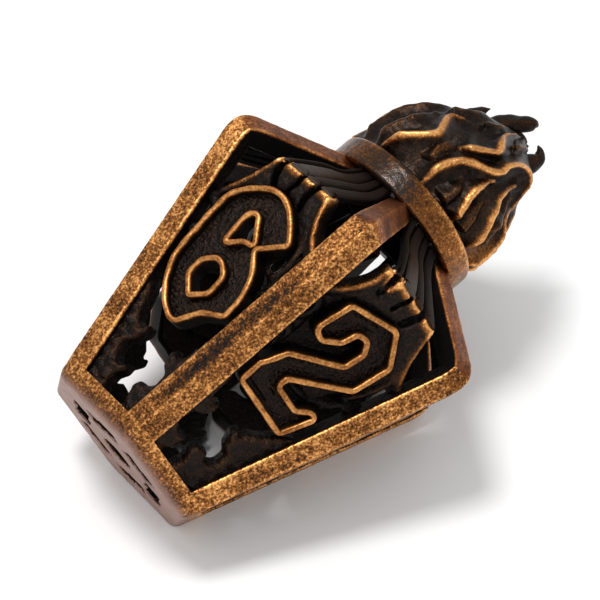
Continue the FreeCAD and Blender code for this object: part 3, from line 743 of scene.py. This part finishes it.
def foot_finish():
    """The foot's rim is rubbed like the posts; its underside is smooth plum patina."""
    finish = tools()[1]
    material = rubbed_plating("foot_copper", mesh_wear_and_light)
    tree = material.node_tree
    shader = tree.nodes["Principled BSDF"]
    nodes = Nodes(None, material)
    geometry = tree.nodes.new("ShaderNodeNewGeometry")
    product = tree.nodes.new("ShaderNodeVectorMath")
    product.operation = "DOT_PRODUCT"
    nodes.link(geometry.outputs["Normal"], product.inputs[0])
    product.inputs[1].default_value = AXIS
    under = nodes.span(product.outputs["Value"], -0.35, -0.8)
    copper = shader.inputs["Base Color"].links[0].from_socket
    mix = tree.nodes.new("ShaderNodeMix")
    mix.data_type = "RGBA"
    plum = nodes.ramp(nodes.noise(0.8, 4.0), [(0.3, [c * 0.7 for c in finish.plum]),
                                              (0.7, finish.plum)])
    nodes.link(under, mix.inputs[0])
    nodes.link(copper, mix.inputs[6])
    nodes.link(plum, mix.inputs[7])
    nodes.link(mix.outputs[2], shader.inputs["Base Color"])
    nodes.link(nodes.math("SUBTRACT", 1.0, nodes.math("MULTIPLY", under, 0.6)),
               shader.inputs["Metallic"])


class DIE_OT_finishes(bpy.types.Operator):
    """Makes the platings and patinas that the pieces wear"""

    bl_idname = "die.finishes"
    bl_label = "Finishes"

    def execute(self, context):
        finish = tools()[1]
        rubbed_plating("bar_copper", mesh_wear_and_light)
        rubbed_plating("arm_copper", mesh_wear_and_light, grain=0.35, lift=-0.08,
                       tint=finish.red, bump=0.25)
        rubbed_plating("collar_copper", mesh_wear_and_light, grain=0.45, roughness=(0.26, 0.34),
                       metal=0.4)
        rubbed_plating("rim_copper", mesh_wear_and_light, grain=0.28, blotch=0.2, bump=0.25)
        # The plates' grain is strong enough that its brown specks also stand for glints on the pebbles:
        # casting grain with painted highlight specks.
        rubbed_plating("plate_patina", mesh_wear_and_light, grain=0.26, blotch=0.08, lift=0.05,
                       roughness=(0.3, 0.3), bump=2.4)
        rubbed_plating("hand_copper", mesh_wear_and_light, grain=0.32, blotch=0.2,
                       roughness=(0.42, 0.38), bump=1.4)
        rubbed_plating("scroll_patina", mesh_wear_and_light, grain=0.22, blotch=0.15,
                       roughness=(0.36, 0.36), bump=1.8)
        rubbed_plating("flame_copper", mesh_wear_and_light, grain=0.34, blotch=0.2,
                       roughness=(0.38, 0.36), bump=0.6)
        # Tongues: black patina, with tops that turn grey under the painted sheen.
        rubbed_plating("tongue_patina_and_sheen", mesh_wear_and_light, grain=0.1, blotch=0.08,
                       tint=finish.grey_sheen, roughness=(0.75, 0.45), bump=0.15)
        foot_finish()
        return {"FINISHED"}


class DIE_OT_cage(bpy.types.Operator):
    """Builds the corner posts and the shoulder arms"""

    bl_idname = "die.cage"
    bl_label = "Posts and arms"

    def execute(self, context):
        # A post is the bar's section carried straight from the foot to the slanting joint at
        # the shoulder; an arm is the same section carried on from that joint to the collar,
        # and narrowed sideways in step with the distance run. Both get a cast skin that fades out
        # over their end rings, and a streak of painted shade beside the ridge, which reaches only the
        # posts.
        wave = tools()[0].casting_wave / MM
        section, outer = bar_section()
        top, arm = shoulder_ring(section)
        foot_radius = FOOT_RADIUS + FLARE * FOOT_THICKNESS
        foot = np.stack([foot_radius + section[:, 0], section[:, 1],
                         np.full(len(section), FOOT_THICKNESS)], 1)
        share = np.linspace(0, 1, POST_ROWS)[:, None, None]
        post = foot * (1 - share) + top * share
        run = (ARM_END_RADIUS - top[:, 0]) / arm[0]
        share = np.linspace(0, 1, ARM_ROWS)[:, None]
        limb = top + (run * share)[..., None] * arm
        limb[..., 1] *= 1 - (1 - ARM_TAPER) * share
        # The shoulder's corner is rounded: near it the outer side sinks towards the bend.
        post_way = np.array([FLARE, 0, 1]) / math.hypot(FLARE, 1)
        inward = arm - post_way
        inward /= np.linalg.norm(inward)
        weight = smooth(-1.7, -0.2, section[:, 0])[:, None]
        for rings in (post, limb):
            away = np.linalg.norm(rings - top, axis=-1)[..., None]
            rings += inward * weight * 0.5 * np.clip(1 - away / 1.7, 0, 1) ** 2
        for corner in range(6):
            for name, node, rings, finish, slot in (
                    ("post_%d", "corner_post_%d", post, "bar_copper", "cage_bars"),
                    ("arm_%d", "shoulder_arm_%d", limb, "arm_copper", "shoulder_arms")):
                uneven = cast_skin(rings, 10 * corner + 1, wave)
                row = np.arange(len(rings))
                ease = smooth(0, 3, np.minimum(row, row[::-1]))[:, None, None]
                rings = rings + (uneven - rings) * ease
                patchy = ripple(rings.reshape(-1, 3), 3.1, 90 + corner).reshape(rings.shape[:2])
                height = rings[..., 2]
                # Painted shade: a dark streak down one side of the ridge, strongest 5 to 8 mm up,
                # fading out by 17 mm and towards the foot.
                shade_streak = np.exp(-((rings[..., 1] + 0.5) / 0.42) ** 2)
                shade_streak = shade_streak * smooth(17, 8, height) * smooth(1.5, 5, height)
                wear_and_light = outer * (1.03 + 0.12 * patchy - SHADE_STREAKS[corner] * shade_streak)
                points, quads, fans, wear_and_light = tube(rings, wear_and_light)
                add_piece(name % (corner + 1), spun(points, 60 * corner), quads, fans, wear_and_light,
                          finish, slot, [node % (corner + 1)])
        return {"FINISHED"}


class DIE_OT_collar(bpy.types.Operator):
    """Builds the neck collar"""

    bl_idname = "die.collar"
    bl_label = "Neck collar"

    def execute(self, context):
        # A rounded rectangle turned about the axis and moved outward by two waves. It is
        # worn round the outside, most along the top lip, by a cosine of the turn, and
        # keeps its black patina over a bell-shaped stretch at BLACK_TURN.
        section = loop([(COLLAR_BORE, COLLAR_BOTTOM, 0.15), (COLLAR_RADIUS, COLLAR_BOTTOM, 0.3),
                        (COLLAR_RADIUS, COLLAR_TOP, 0.35), (COLLAR_BORE, COLLAR_TOP, 0.15)],
                       step=FINE_STEP)
        turn = np.linspace(0, 2 * math.pi, COLLAR_COLUMNS, endpoint=False)[:, None]
        radius, height = section[:, 0], section[:, 1]
        rings = np.stack([radius * np.cos(turn), radius * np.sin(turn),
                          np.broadcast_to(height, (COLLAR_COLUMNS, len(section)))], -1)
        flat = rings.reshape(-1, 3)
        wave = (ripple(flat, 2.4, 71) * 0.03 + ripple(flat, 0.5, 72) * 0.012)
        rings = grown(rings, wave.reshape(rings.shape[:2]))
        outside = smooth(5.7, 6.3, radius)
        lip = np.exp(-((height - COLLAR_TOP + 0.2) / 0.25) ** 2)
        worn = 0.74 + 0.34 * np.cos(turn - math.radians(WORN_TURN))
        from_black = turn - 2 * math.pi * (turn > math.pi) - math.radians(BLACK_TURN)
        bare = 1 - 0.6 * np.exp(-(from_black / 0.36) ** 2)
        wear_and_light = (outside * (0.56 + 0.22 * lip) * worn * bare).reshape(-1)
        quads = grid_quads(COLLAR_COLUMNS, len(section), wrap_rows=True)
        add_piece("collar", rings.reshape(-1, 3), quads, None, wear_and_light,
                  "collar_copper", "neck_collar", ["neck_collar"])
        return {"FINISHED"}


class DIE_OT_foot(bpy.types.Operator):
    """Builds the foot plate with its stepped slots and its middle hole"""

    bl_idname = "die.foot"
    bl_label = "Foot plate"

    def execute(self, context):
        # A level plate: its edge and its middle hole are hexagons and its slots are stepped
        # outlines turned about the middle. Edges fall by quarter circles, and the outer part
        # widens with depth as the posts flare.
        def ring(radius):
            return [(radius * math.cos(math.radians(60 * k)),
                     radius * math.sin(math.radians(60 * k))) for k in range(6)]

        edge = loop(ring(FOOT_RADIUS), corner=0.5, step=0.15)
        holes = [loop(ring(HOLE_RADIUS), corner=0.4, step=FINE_STEP)]
        far = SLOT_NEAR + SLOT_WIDTH
        steps = [(SLOT_NEAR, -SLOT_REACH), (far, -SLOT_REACH), (far, 0), (far + SLOT_STEP, 0),
                 (far + SLOT_STEP, SLOT_REACH), (SLOT_NEAR + SLOT_STEP, SLOT_REACH),
                 (SLOT_NEAR + SLOT_STEP, 0), (SLOT_NEAR, 0)]
        for side in range(6):
            turn = math.radians(30 + 60 * side)
            holes.append(loop([(x * math.cos(turn) - y * math.sin(turn),
                                x * math.sin(turn) + y * math.cos(turn)) for x, y in steps],
                              corner=0.2, step=FINE_STEP))

        def region(points):
            distance = inside(points, edge)
            for hole in holes:
                distance = np.minimum(distance, -inside(points, hole))
            return distance

        def front(points, distance):
            outer = np.maximum(inside(points, edge), 0)
            depth = bevel(outer, 0.45) + bevel(distance, 0.12) * (outer > 0.5)
            wear_and_light = 0.5 * (1 - smooth(0.0, 0.5, outer)) * np.ones(len(points))
            return depth + 0.02 * ripple(points, 1.5, 21), wear_and_light

        def place(across, up, depth):
            radius = np.hypot(across, up)
            flare = 1 + FLARE * depth / FOOT_RADIUS * smooth(4.6, 6.0, radius)
            return np.stack([across * flare, up * flare, np.broadcast_to(depth, across.shape)], -1)

        reach = FOOT_RADIUS + 0.2
        points, quads, wear_and_light = relief(region, front, place, (-reach, -reach, reach, reach),
                                    FINE_STEP, FOOT_THICKNESS)
        count = len(points) // 2
        outer = np.hypot(points[count:, 0], points[count:, 1]) > FOOT_RADIUS - 1
        wear_and_light[count:] = np.where(outer, 0.72, 0.0)
        add_piece("foot", points, quads, None, wear_and_light, "foot_copper", "foot_plate", ["foot_plate"])
        return {"FINISHED"}


class DIE_OT_rims(bpy.types.Operator):
    """Builds the raised outlines of the numerals"""

    bl_idname = "die.rims"
    bl_label = "Numeral rims"

    def execute(self, context):
        # A rounded profile carried along each outline at right angles to it, a little wider
        # and higher here and there by two ripples, and worn where the profile is high.
        sizes = tools()[0]
        half = sizes.rim_width / MM / 2
        top = sizes.rim_top / MM
        # Across the rim as shares of its half width, and depth below the rim's top.
        profile = np.array([(-1.12, 1.4), (-1.1, 0.7), (-1.04, 0.3), (-0.94, 0.14),
                            (-0.78, 0.05), (-0.5, 0.01), (0, 0), (0.5, 0.01), (0.78, 0.05),
                            (0.94, 0.14), (1.04, 0.3), (1.1, 0.7), (1.12, 1.4)])
        for face, outlines in NUMERALS.items():
            points, quads, wear_and_light_parts, count = [], [], [], 0
            for number, outline in enumerate(outlines):
                path = loop(outline, step=0.07)
                run = np.roll(path, -1, 0) - np.roll(path, 1, 0)
                run /= np.linalg.norm(run, axis=1)[:, None]
                side = np.stack([run[:, 1], -run[:, 0]], 1)
                wide = half * (1 + 0.1 * ripple(path, 1.1, 5 + number))
                high = 0.04 * (1 + ripple(path, 1.7, 9 + number))
                u = path[:, :1] + side[:, :1] * wide[:, None] * profile[:, 0]
                v = path[:, 1:] + side[:, 1:] * wide[:, None] * profile[:, 0]
                depth = top + profile[:, 1] + high[:, None]
                points.append(on_face(face, u, v, depth).reshape(-1, 3))
                quads.append(grid_quads(len(path), len(profile), wrap_rows=True) + count)
                worn = 1 + 0.15 * ripple(path, 2.6, 13 + number)[:, None]
                wear_and_light_parts.append((0.72 * worn * (1 - smooth(0.08, 0.45, profile[:, 1]))).reshape(-1))
                count += u.size
            add_piece("rim_" + face, np.concatenate(points), np.concatenate(quads), None,
                      np.concatenate(wear_and_light_parts), "rim_copper", "numeral_rims",
                      ["number_rim_" + face], sharp=60)
        return {"FINISHED"}


class DIE_OT_plates(bpy.types.Operator):
    """Builds the sunk ground inside each numeral"""

    bl_idname = "die.plates"
    bl_label = "Numeral plates"

    def execute(self, context):
        # The ground lies at the plate's depth plus two ripples for its pebbles, less a row of
        # beads down its left side: a bell across the row times a cosine along it.
        top = tools()[0].plate_top / MM
        for face, outlines in NUMERALS.items():
            loops = [loop(outline, step=OUTLINE_STEP) for outline in outlines]

            def region(points):
                distance = inside(points, loops[0]) - 0.05
                for counter in loops[1:]:
                    distance = np.minimum(distance, -inside(points, counter) - 0.05)
                return distance

            def front(points, distance):
                pebble = ripple(points, 0.5, 31) * 0.5 + ripple(points, 0.31, 32) * 0.5
                bead = np.exp(-((distance - 0.42) / 0.11) ** 2) * np.cos(points[:, 1] * 18)
                bead = bead * (points[:, 0] < 0)
                return top + 0.035 * pebble - 0.09 * bead, 0.05 * pebble + 0.12 * bead

            points, quads, wear_and_light = relief(region, front, face_map(face), PLATE_BOX)
            add_piece("plate_" + face, points, quads, None, wear_and_light, "plate_patina",
                      "numeral_plates", ["number_plate_" + face])
        return {"FINISHED"}


class DIE_OT_hands(bpy.types.Operator):
    """Builds the open hand of flame behind each numeral"""

    bl_idname = "die.hands"
    bl_label = "Flame hands"

    def execute(self, context):
        # The hand's region is its edge, less its holes, the grooves between its fingers and
        # the numeral. Its depth adds quarter-circle edges, a hollow inside a raised rim,
        # a lower palm, a bell-shaped curl line, a gutter round the numeral and a ripple.
        top = tools()[0].hand_top / MM
        for face, (hand, mirror) in HANDS.items():
            figure = loop(NUMERALS[face][0], step=OUTLINE_STEP)
            edge = loop(hand["edge"], mirror, step=OUTLINE_STEP)
            holes = [loop(hole, mirror, step=OUTLINE_STEP) for hole in hand["holes"]]
            flip = np.array([mirror, 1])
            grooves = [(curve(path, 30) * flip, width) for path, width in hand["grooves"]]
            curl_line = curve(hand["curl"], 40) * flip

            def split(points):
                gap = np.full(len(points), 9.0)
                for path, width in grooves:
                    gap = np.minimum(gap, nearest(points, path, False)[0] - width)
                return gap

            def region(points):
                distance = np.minimum(inside(points, edge), window(points))
                for hole in holes:
                    distance = np.minimum(distance, -inside(points, hole))
                distance = np.minimum(distance, split(points))
                return np.minimum(distance, -inside(points, figure) - 0.1)

            def front(points, distance):
                rim = np.maximum(inside(points, edge), 0)
                gap = np.maximum(split(points), 0)
                high = smooth(16.0, 17.2, points[:, 1])
                tip = smooth(19.7, 20.4, points[:, 1])
                curl = np.exp(-(nearest(points, curl_line, False)[0] / 0.3) ** 2)
                low = 1 - smooth(14.5, 17.0, points[:, 1])
                gutter = np.exp(-np.maximum(-inside(points, figure) - 0.1, 0) / 0.35)
                depth = top + bevel(np.minimum(rim, gap), 0.28) + 0.04 * ripple(points, 0.6, 41)
                depth += 0.16 * smooth(0.35, 0.7, rim) * (1 - tip)
                depth += low * (0.35 + 0.5 * (1 - smooth(2.6, 3.3, np.abs(points[:, 0]))))
                depth += (0.25 - 0.35 * curl) * smooth(0.5, 0.9, rim) * (1 - high)
                depth += 0.3 * smooth(FINGER_TOP - 0.5, FINGER_TOP + 0.05, points[:, 1])
                depth += 0.45 * gutter * (1 - tip)
                line = np.exp(-((rim - 0.2) / 0.2) ** 2) * high
                wear_and_light = 0.04 + 0.62 * line + 0.66 * tip * smooth(0.0, 0.15, gap) + 0.15 * curl
                return depth, wear_and_light - 0.2 * low * (1 - curl)

            points, quads, wear_and_light = relief(region, front, face_map(face), HAND_BOX)
            add_piece("hand_" + face, points, quads, None, wear_and_light, "hand_copper",
                      "flame_hands", ["flame_hand_" + face])
        return {"FINISHED"}


class DIE_OT_scrolls(bpy.types.Operator):
    """Builds the curling scrolls at the foot of each window"""

    bl_idname = "die.scrolls"
    bl_label = "Foot scrolls"

    def execute(self, context):
        # A scroll's region is its outline inside the window, above the foot and clear of the
        # numeral. Its edges fall by quarter circles and its top is uneven by a ripple. Its
        # colour has an uneven tone and a painted glint in a line just inside its edge.
        for face, sides in SCROLLS.items():
            figure = loop(NUMERALS[face][0], step=OUTLINE_STEP)
            for side, outline in sides.items():
                path = loop(outline, corner=0.4, step=FINE_STEP)

                def region(points):
                    distance = np.minimum(inside(points, path), window(points))
                    distance = np.minimum(distance, points[:, 1] - SCROLL_FOOT)
                    return np.minimum(distance, -inside(points, figure) - 0.15)

                def front(points, distance):
                    rim = np.maximum(inside(points, path), 0)
                    depth = SCROLL_TOP + bevel(rim, 0.5) + 0.08 * ripple(points, 0.8, 51)
                    # Painted glint: a lighter line just inside the scroll's edge.
                    line = np.exp(-((rim - 0.22) / 0.16) ** 2)
                    return depth, 0.05 + 0.08 * ripple(points, 0.9, 52) + 0.16 * line

                points, quads, wear_and_light = relief(region, front, face_map(face), SCROLL_BOX)
                add_piece("scroll_%s_%s" % (face, side), points, quads, None, wear_and_light,
                          "scroll_patina", "foot_scrolls", ["foot_scroll_%s_%s" % (face, side)])
        return {"FINISHED"}


class DIE_OT_tongues(bpy.types.Operator):
    """Builds the flat tongues that run on from the fingers, inward under the collar"""

    bl_idname = "die.tongues"
    bl_label = "Tongues"

    def execute(self, context):
        # A rounded bar section carried along a cubic line that leaves the finger's end, bends
        # over and runs inward under the collar. Its half width is the finger's times a leaf
        # shape, its skin has fine ridges, a cosine across it, and it is worn at the bend. Its top
        # carries a painted grey sheen that fades into painted shade as it runs in under the collar.
        radial = TONGUE_END_RADIUS - FACE_APOTHEM
        height = COLLAR_BOTTOM + 0.25
        root = np.array([0, FINGER_TOP - 0.45, 0.62])
        bend = np.array([0, FINGER_TOP + 0.02, 0.68])
        tip = np.array([0, radial * math.sin(SLOPE) + height * math.cos(SLOPE),
                        height * math.sin(SLOPE) - radial * math.cos(SLOPE)])
        share = np.linspace(0, 1, TONGUE_ROWS)
        section = loop([(-1, 0, 0.3), (1, 0, 0.3), (1, 1, 0.3), (-1, 1, 0.3)],
                       step=OUTLINE_STEP)
        across, down = section[:, 0], section[:, 1]
        top = down < 0.25
        bend_worn = (1 - smooth(0.05, 0.13, share))[:, None] * top
        for face, (hand, mirror) in HANDS.items():
            points, quads, fans, wear_and_light_parts, count = [], [], [], [], 0
            for number, (near, far, shine) in enumerate(hand["tips"]):
                left, right = sorted((near * mirror, far * mirror))
                wide = right - left
                droop = 0.1 * number
                line = curve([root, bend, root * 0.6 + tip * 0.4 + [0, 0.3 - droop, 0.1],
                              root * 0.3 + tip * 0.7 + [0, -0.1, 0.3 + droop], tip],
                             TONGUE_ROWS)
                run = np.gradient(line, axis=0)
                run /= np.linalg.norm(run, axis=1)[:, None]
                under = np.stack([run[:, 0], -run[:, 2], run[:, 1]], 1)
                middle = (left + right) / 2 * (1 - 0.45 * share)
                middle = middle + mirror * 0.1 * np.sin(share * 4.2)
                leaf = 0.82 + 0.26 * smooth(0, 0.16, share) + 0.15 * np.sin(share * math.pi)
                leaf = leaf - 0.5 * share
                half = np.maximum(wide / 2 * leaf, 0.16)
                ridges = 0.006 * np.cos(across * half[:, None] * 22 + 3 * share[:, None])
                sink = down * 0.6 + ridges + 0.1 * across ** 2 * (1 - down)
                u = middle[:, None] + across * half[:, None]
                v = line[:, 1:2] + under[:, 1:2] * sink
                depth = line[:, 2:3] + under[:, 2:3] * sink
                # Painted sheen on the top, fading into painted shade under the collar; broad tongues
                # keep it further in.
                sheen_into_shade = 1 - 0.8 * smooth(0.15, 0.35 + 0.5 * (wide > 1.2), share)
                wear_and_light = np.maximum(shine * top * sheen_into_shade[:, None], 0.95 * bend_worn)
                skin = tube(on_face(face, u, v, depth), wear_and_light)
                points.append(skin[0])
                quads.append(skin[1] + count)
                fans.append(skin[2] + count)
                wear_and_light_parts.append(skin[3])
                count += len(skin[0])
            add_piece("tongues_" + face, np.concatenate(points), np.concatenate(quads),
                      np.concatenate(fans), np.concatenate(wear_and_light_parts), "tongue_patina_and_sheen",
                      "hand_tongues", ["hand_tongues_" + face])
        return {"FINISHED"}


class DIE_OT_flame(bpy.types.Operator):
    """Builds the flame: a body with licks raised on its skin, and curling claws"""

    bl_idname = "die.flame"
    bl_label = "Flame"

    def execute(self, context):
        # The body's radius is its half width at a height, plus the licks, less hollows that
        # two ripples make. A lick is the higher of a narrow and a broad bell of the distance
        # to its line, and thins towards both ends of the line.
        stand_out = tools()[0].lick_height / MM
        shape = (FLAME_ROWS, FLAME_COLUMNS)
        height = np.linspace(FLAME_HEIGHTS[0], FLAME_HEIGHTS[-1], FLAME_ROWS)[:, None]
        turn = np.linspace(-math.pi, math.pi, FLAME_COLUMNS, endpoint=False)[None, :]
        middle = np.interp(height, FLAME_HEIGHTS, FLAME_MIDDLES)
        width = np.interp(height, FLAME_HEIGHTS, FLAME_WIDTHS)
        skin = np.stack(np.broadcast_arrays(turn * FLAME_REACH, height), -1).reshape(-1, 2)
        lift = np.zeros(len(skin))
        wear_and_light = np.zeros(len(skin))
        once_round = 2 * math.pi * FLAME_REACH
        for licks, shine, size in ((BRIGHT_LICKS, 1, 1), (DARK_LICKS, 0.3, 0.7),
                                   (BACK_LICKS, 1, 1)):
            for lick in licks:
                path = curve([(math.radians(a) * FLAME_REACH, h) for a, h in lick], 60)
                for lap in (-once_round, 0, once_round):
                    distance, along = nearest(skin, path + [lap, 0], False)
                    taper = smooth(-0.05, 0.12, along) * (1 - 0.75 * smooth(0.55, 1.0, along))
                    crest = np.exp(-(distance / (0.18 + 0.24 * taper)) ** 2)
                    slope = np.exp(-(distance / (0.5 + 0.6 * taper)) ** 2)
                    tall = size * stand_out * (0.3 + 0.7 * taper)
                    lift = np.maximum(lift, tall * (0.45 * crest + 0.55 * slope))
                    bright = shine * smooth(0.35, 0.95, crest) * (0.5 + 0.3 * taper)
                    wear_and_light = np.maximum(wear_and_light, bright)
        skirt = np.exp(-((np.degrees(turn) - 85) / 30) ** 2) * (1 - smooth(28.5, 31, height))
        wear_and_light = np.maximum(wear_and_light.reshape(shape), 0.4 * skirt)
        round_skin = np.stack([np.cos(turn) * width, np.sin(turn) * width,
                               np.broadcast_to(height, shape)], -1).reshape(-1, 3)
        hollow = 0.18 * ripple(round_skin * [1, 1, 0.5], 2.6, 61)
        hollow = hollow + 0.06 * ripple(round_skin, 0.9, 62)
        raised = (lift + hollow - HOLLOW_DEPTH).reshape(shape)
        radius = width + raised * smooth(0.3, 2.0, width)
        rings = np.stack([radius * np.cos(turn), middle + radius * np.sin(turn),
                          np.broadcast_to(height, shape)], -1)
        wear_and_light = wear_and_light + 0.08 + 0.06 * ripple(rings.reshape(-1, 3), 1.3, 64).reshape(shape)
        points, quads, fans, wear_and_light = tube(rings, wear_and_light)
        add_piece("flame_body", points, quads, fans, wear_and_light, "flame_copper", "flame",
                  ["flame_core"])
        for name, (node, azimuth, points) in CLAWS.items():
            self.add_claw(name, node, azimuth, points)
        return {"FINISHED"}

    def add_claw(self, name, node, azimuth, points):
        """A horn along a bent line: round sections that thin to a tip, flattened a little
        and with a ridge down the side that faces out."""
        path = curve(points, CLAW_ROWS)
        run = np.gradient(path[:, :2], axis=0)
        run /= np.linalg.norm(run, axis=1)[:, None]
        turn = np.linspace(0, 2 * math.pi, CLAW_COLUMNS, endpoint=False)
        from_ridge = np.sin((turn - math.pi / 2) / 2)
        radius = path[:, 2:3] * (1 + 0.14 * np.exp(-(from_ridge / 0.2) ** 2))
        side = np.cos(turn) * radius
        ahead = np.sin(turn) * radius * 0.85
        rings = np.stack([ahead, path[:, :1] + side * run[:, 1:2],
                          path[:, 1:2] - side * run[:, :1]], -1)
        flat = rings.reshape(-1, 3)
        rings = grown(rings, (0.05 * ripple(flat, 0.9, 81)).reshape(rings.shape[:2]))
        crest = np.exp(-(from_ridge / 0.17) ** 2)
        wear_and_light = 0.03 + 0.2 * crest * np.ones((CLAW_ROWS, 1))
        points, quads, fans, wear_and_light = tube(rings, wear_and_light)
        add_piece(name, spun(points, azimuth), quads, fans, wear_and_light, "flame_copper", "flame",
                  [node] if node else [])


class DIE_OT_stage(bpy.types.Operator):
    """Builds the floor, the lights and the camera"""

    bl_idname = "die.stage"
    bl_label = "Stage"

    def execute(self, context):
        stage = tools()[2]
        self.floor()
        self.light("key", KEY_PLACE, KEY_SIZE, stage.key)
        self.light("fill", FILL_PLACE, FILL_SIZE, stage.fill)
        world = bpy.data.worlds.new("studio")
        world.use_nodes = True
        background = world.node_tree.nodes["Background"]
        background.inputs["Color"].default_value = (1, 1, 1, 1)
        background.inputs["Strength"].default_value = SKY_STRENGTH
        context.scene.world = world
        context.scene.view_settings.view_transform = "Standard"
        self.camera(context, stage)
        return {"FINISHED"}

    def floor(self):
        """A level square of pale paper under the die."""
        reach = FLOOR_REACH
        mesh = bpy.data.meshes.new("floor")
        mesh.from_pydata([(-reach, -reach, 0), (reach, -reach, 0), (reach, reach, 0),
                          (-reach, reach, 0)], [], [(0, 1, 2, 3)])
        material = bpy.data.materials.new("paper")
        material.use_nodes = True
        shader = material.node_tree.nodes["Principled BSDF"]
        shader.inputs["Base Color"].default_value = (FLOOR_WHITE, FLOOR_WHITE, FLOOR_WHITE, 1)
        shader.inputs["Roughness"].default_value = 0.9
        shader.inputs["Specular IOR Level"].default_value = 0.1
        mesh.materials.append(material)
        floor = bpy.data.objects.new("floor", mesh)
        bpy.context.scene.collection.objects.link(floor)

    def light(self, name, place, size, power):
        """A round softbox that faces the die."""
        lamp = bpy.data.lights.new(name, "AREA")
        lamp.shape = "DISK"
        lamp.size = size
        lamp.energy = power
        holder = bpy.data.objects.new(name, lamp)
        turn = (Vector(LAMP_AIM) - Vector(place)).to_track_quat("-Z", "Y")
        holder.matrix_world = Matrix.Translation(place) @ turn.to_matrix().to_4x4()
        bpy.context.scene.collection.objects.link(holder)

    def camera(self, context, stage):
        """A camera at a distance from the point it looks at, turned by three angles."""
        aim = Vector(AIM)
        back = Vector((math.sin(stage.azimuth) * math.cos(stage.elevation),
                       -math.cos(stage.azimuth) * math.cos(stage.elevation),
                       math.sin(stage.elevation)))
        data = bpy.data.cameras.new("camera")
        data.lens = stage.lens
        data.sensor_width = 36
        data.clip_start, data.clip_end = 0.005, 10
        camera = bpy.data.objects.new("camera", data)
        turn = (-back).to_track_quat("-Z", "Y").to_matrix() @ Matrix.Rotation(stage.roll, 3, "Z")
        camera.matrix_world = Matrix.Translation(aim + back * stage.distance) @ turn.to_4x4()
        context.scene.collection.objects.link(camera)
        context.scene.camera = camera


class DIE_PT_torch(bpy.types.Panel):
    """Lists the pieces of the die in the sidebar"""

    bl_label = "Torch Die"
    bl_idname = "DIE_PT_torch"
    bl_space_type = "VIEW_3D"
    bl_region_type = "UI"
    bl_category = "Torch Die"

    def draw(self, context):
        for operator in STEPS:
            self.layout.operator(operator.bl_idname)
        for group in tools():
            box = self.layout.box()
            for name in group.bl_rna.properties.keys():
                if name not in ("rna_type", "name"):
                    box.prop(group, name)


GROUPS = (("die_sizes", DieSizes), ("die_finish", DieFinish), ("die_stage", StageSettings))
STEPS = (DIE_OT_finishes, DIE_OT_cage, DIE_OT_collar, DIE_OT_foot, DIE_OT_rims,
         DIE_OT_plates, DIE_OT_hands, DIE_OT_scrolls, DIE_OT_tongues, DIE_OT_flame,
         DIE_OT_stage)


def register():
    for name, group in GROUPS:
        bpy.utils.register_class(group)
        setattr(bpy.types.Scene, name, PointerProperty(type=group))
    for cls in STEPS + (DIE_PT_torch,):
        bpy.utils.register_class(cls)


def unregister():
    for cls in (DIE_PT_torch,) + STEPS[::-1]:
        bpy.utils.unregister_class(cls)
    for name, group in GROUPS[::-1]:
        delattr(bpy.types.Scene, name)
        bpy.utils.unregister_class(group)


def main():
    register()
    for step in STEPS:
        family, name = step.bl_idname.split(".")
        getattr(getattr(bpy.ops, family), name)()
    bpy.context.view_layer.update()


if __name__ == "__main__":
    main()
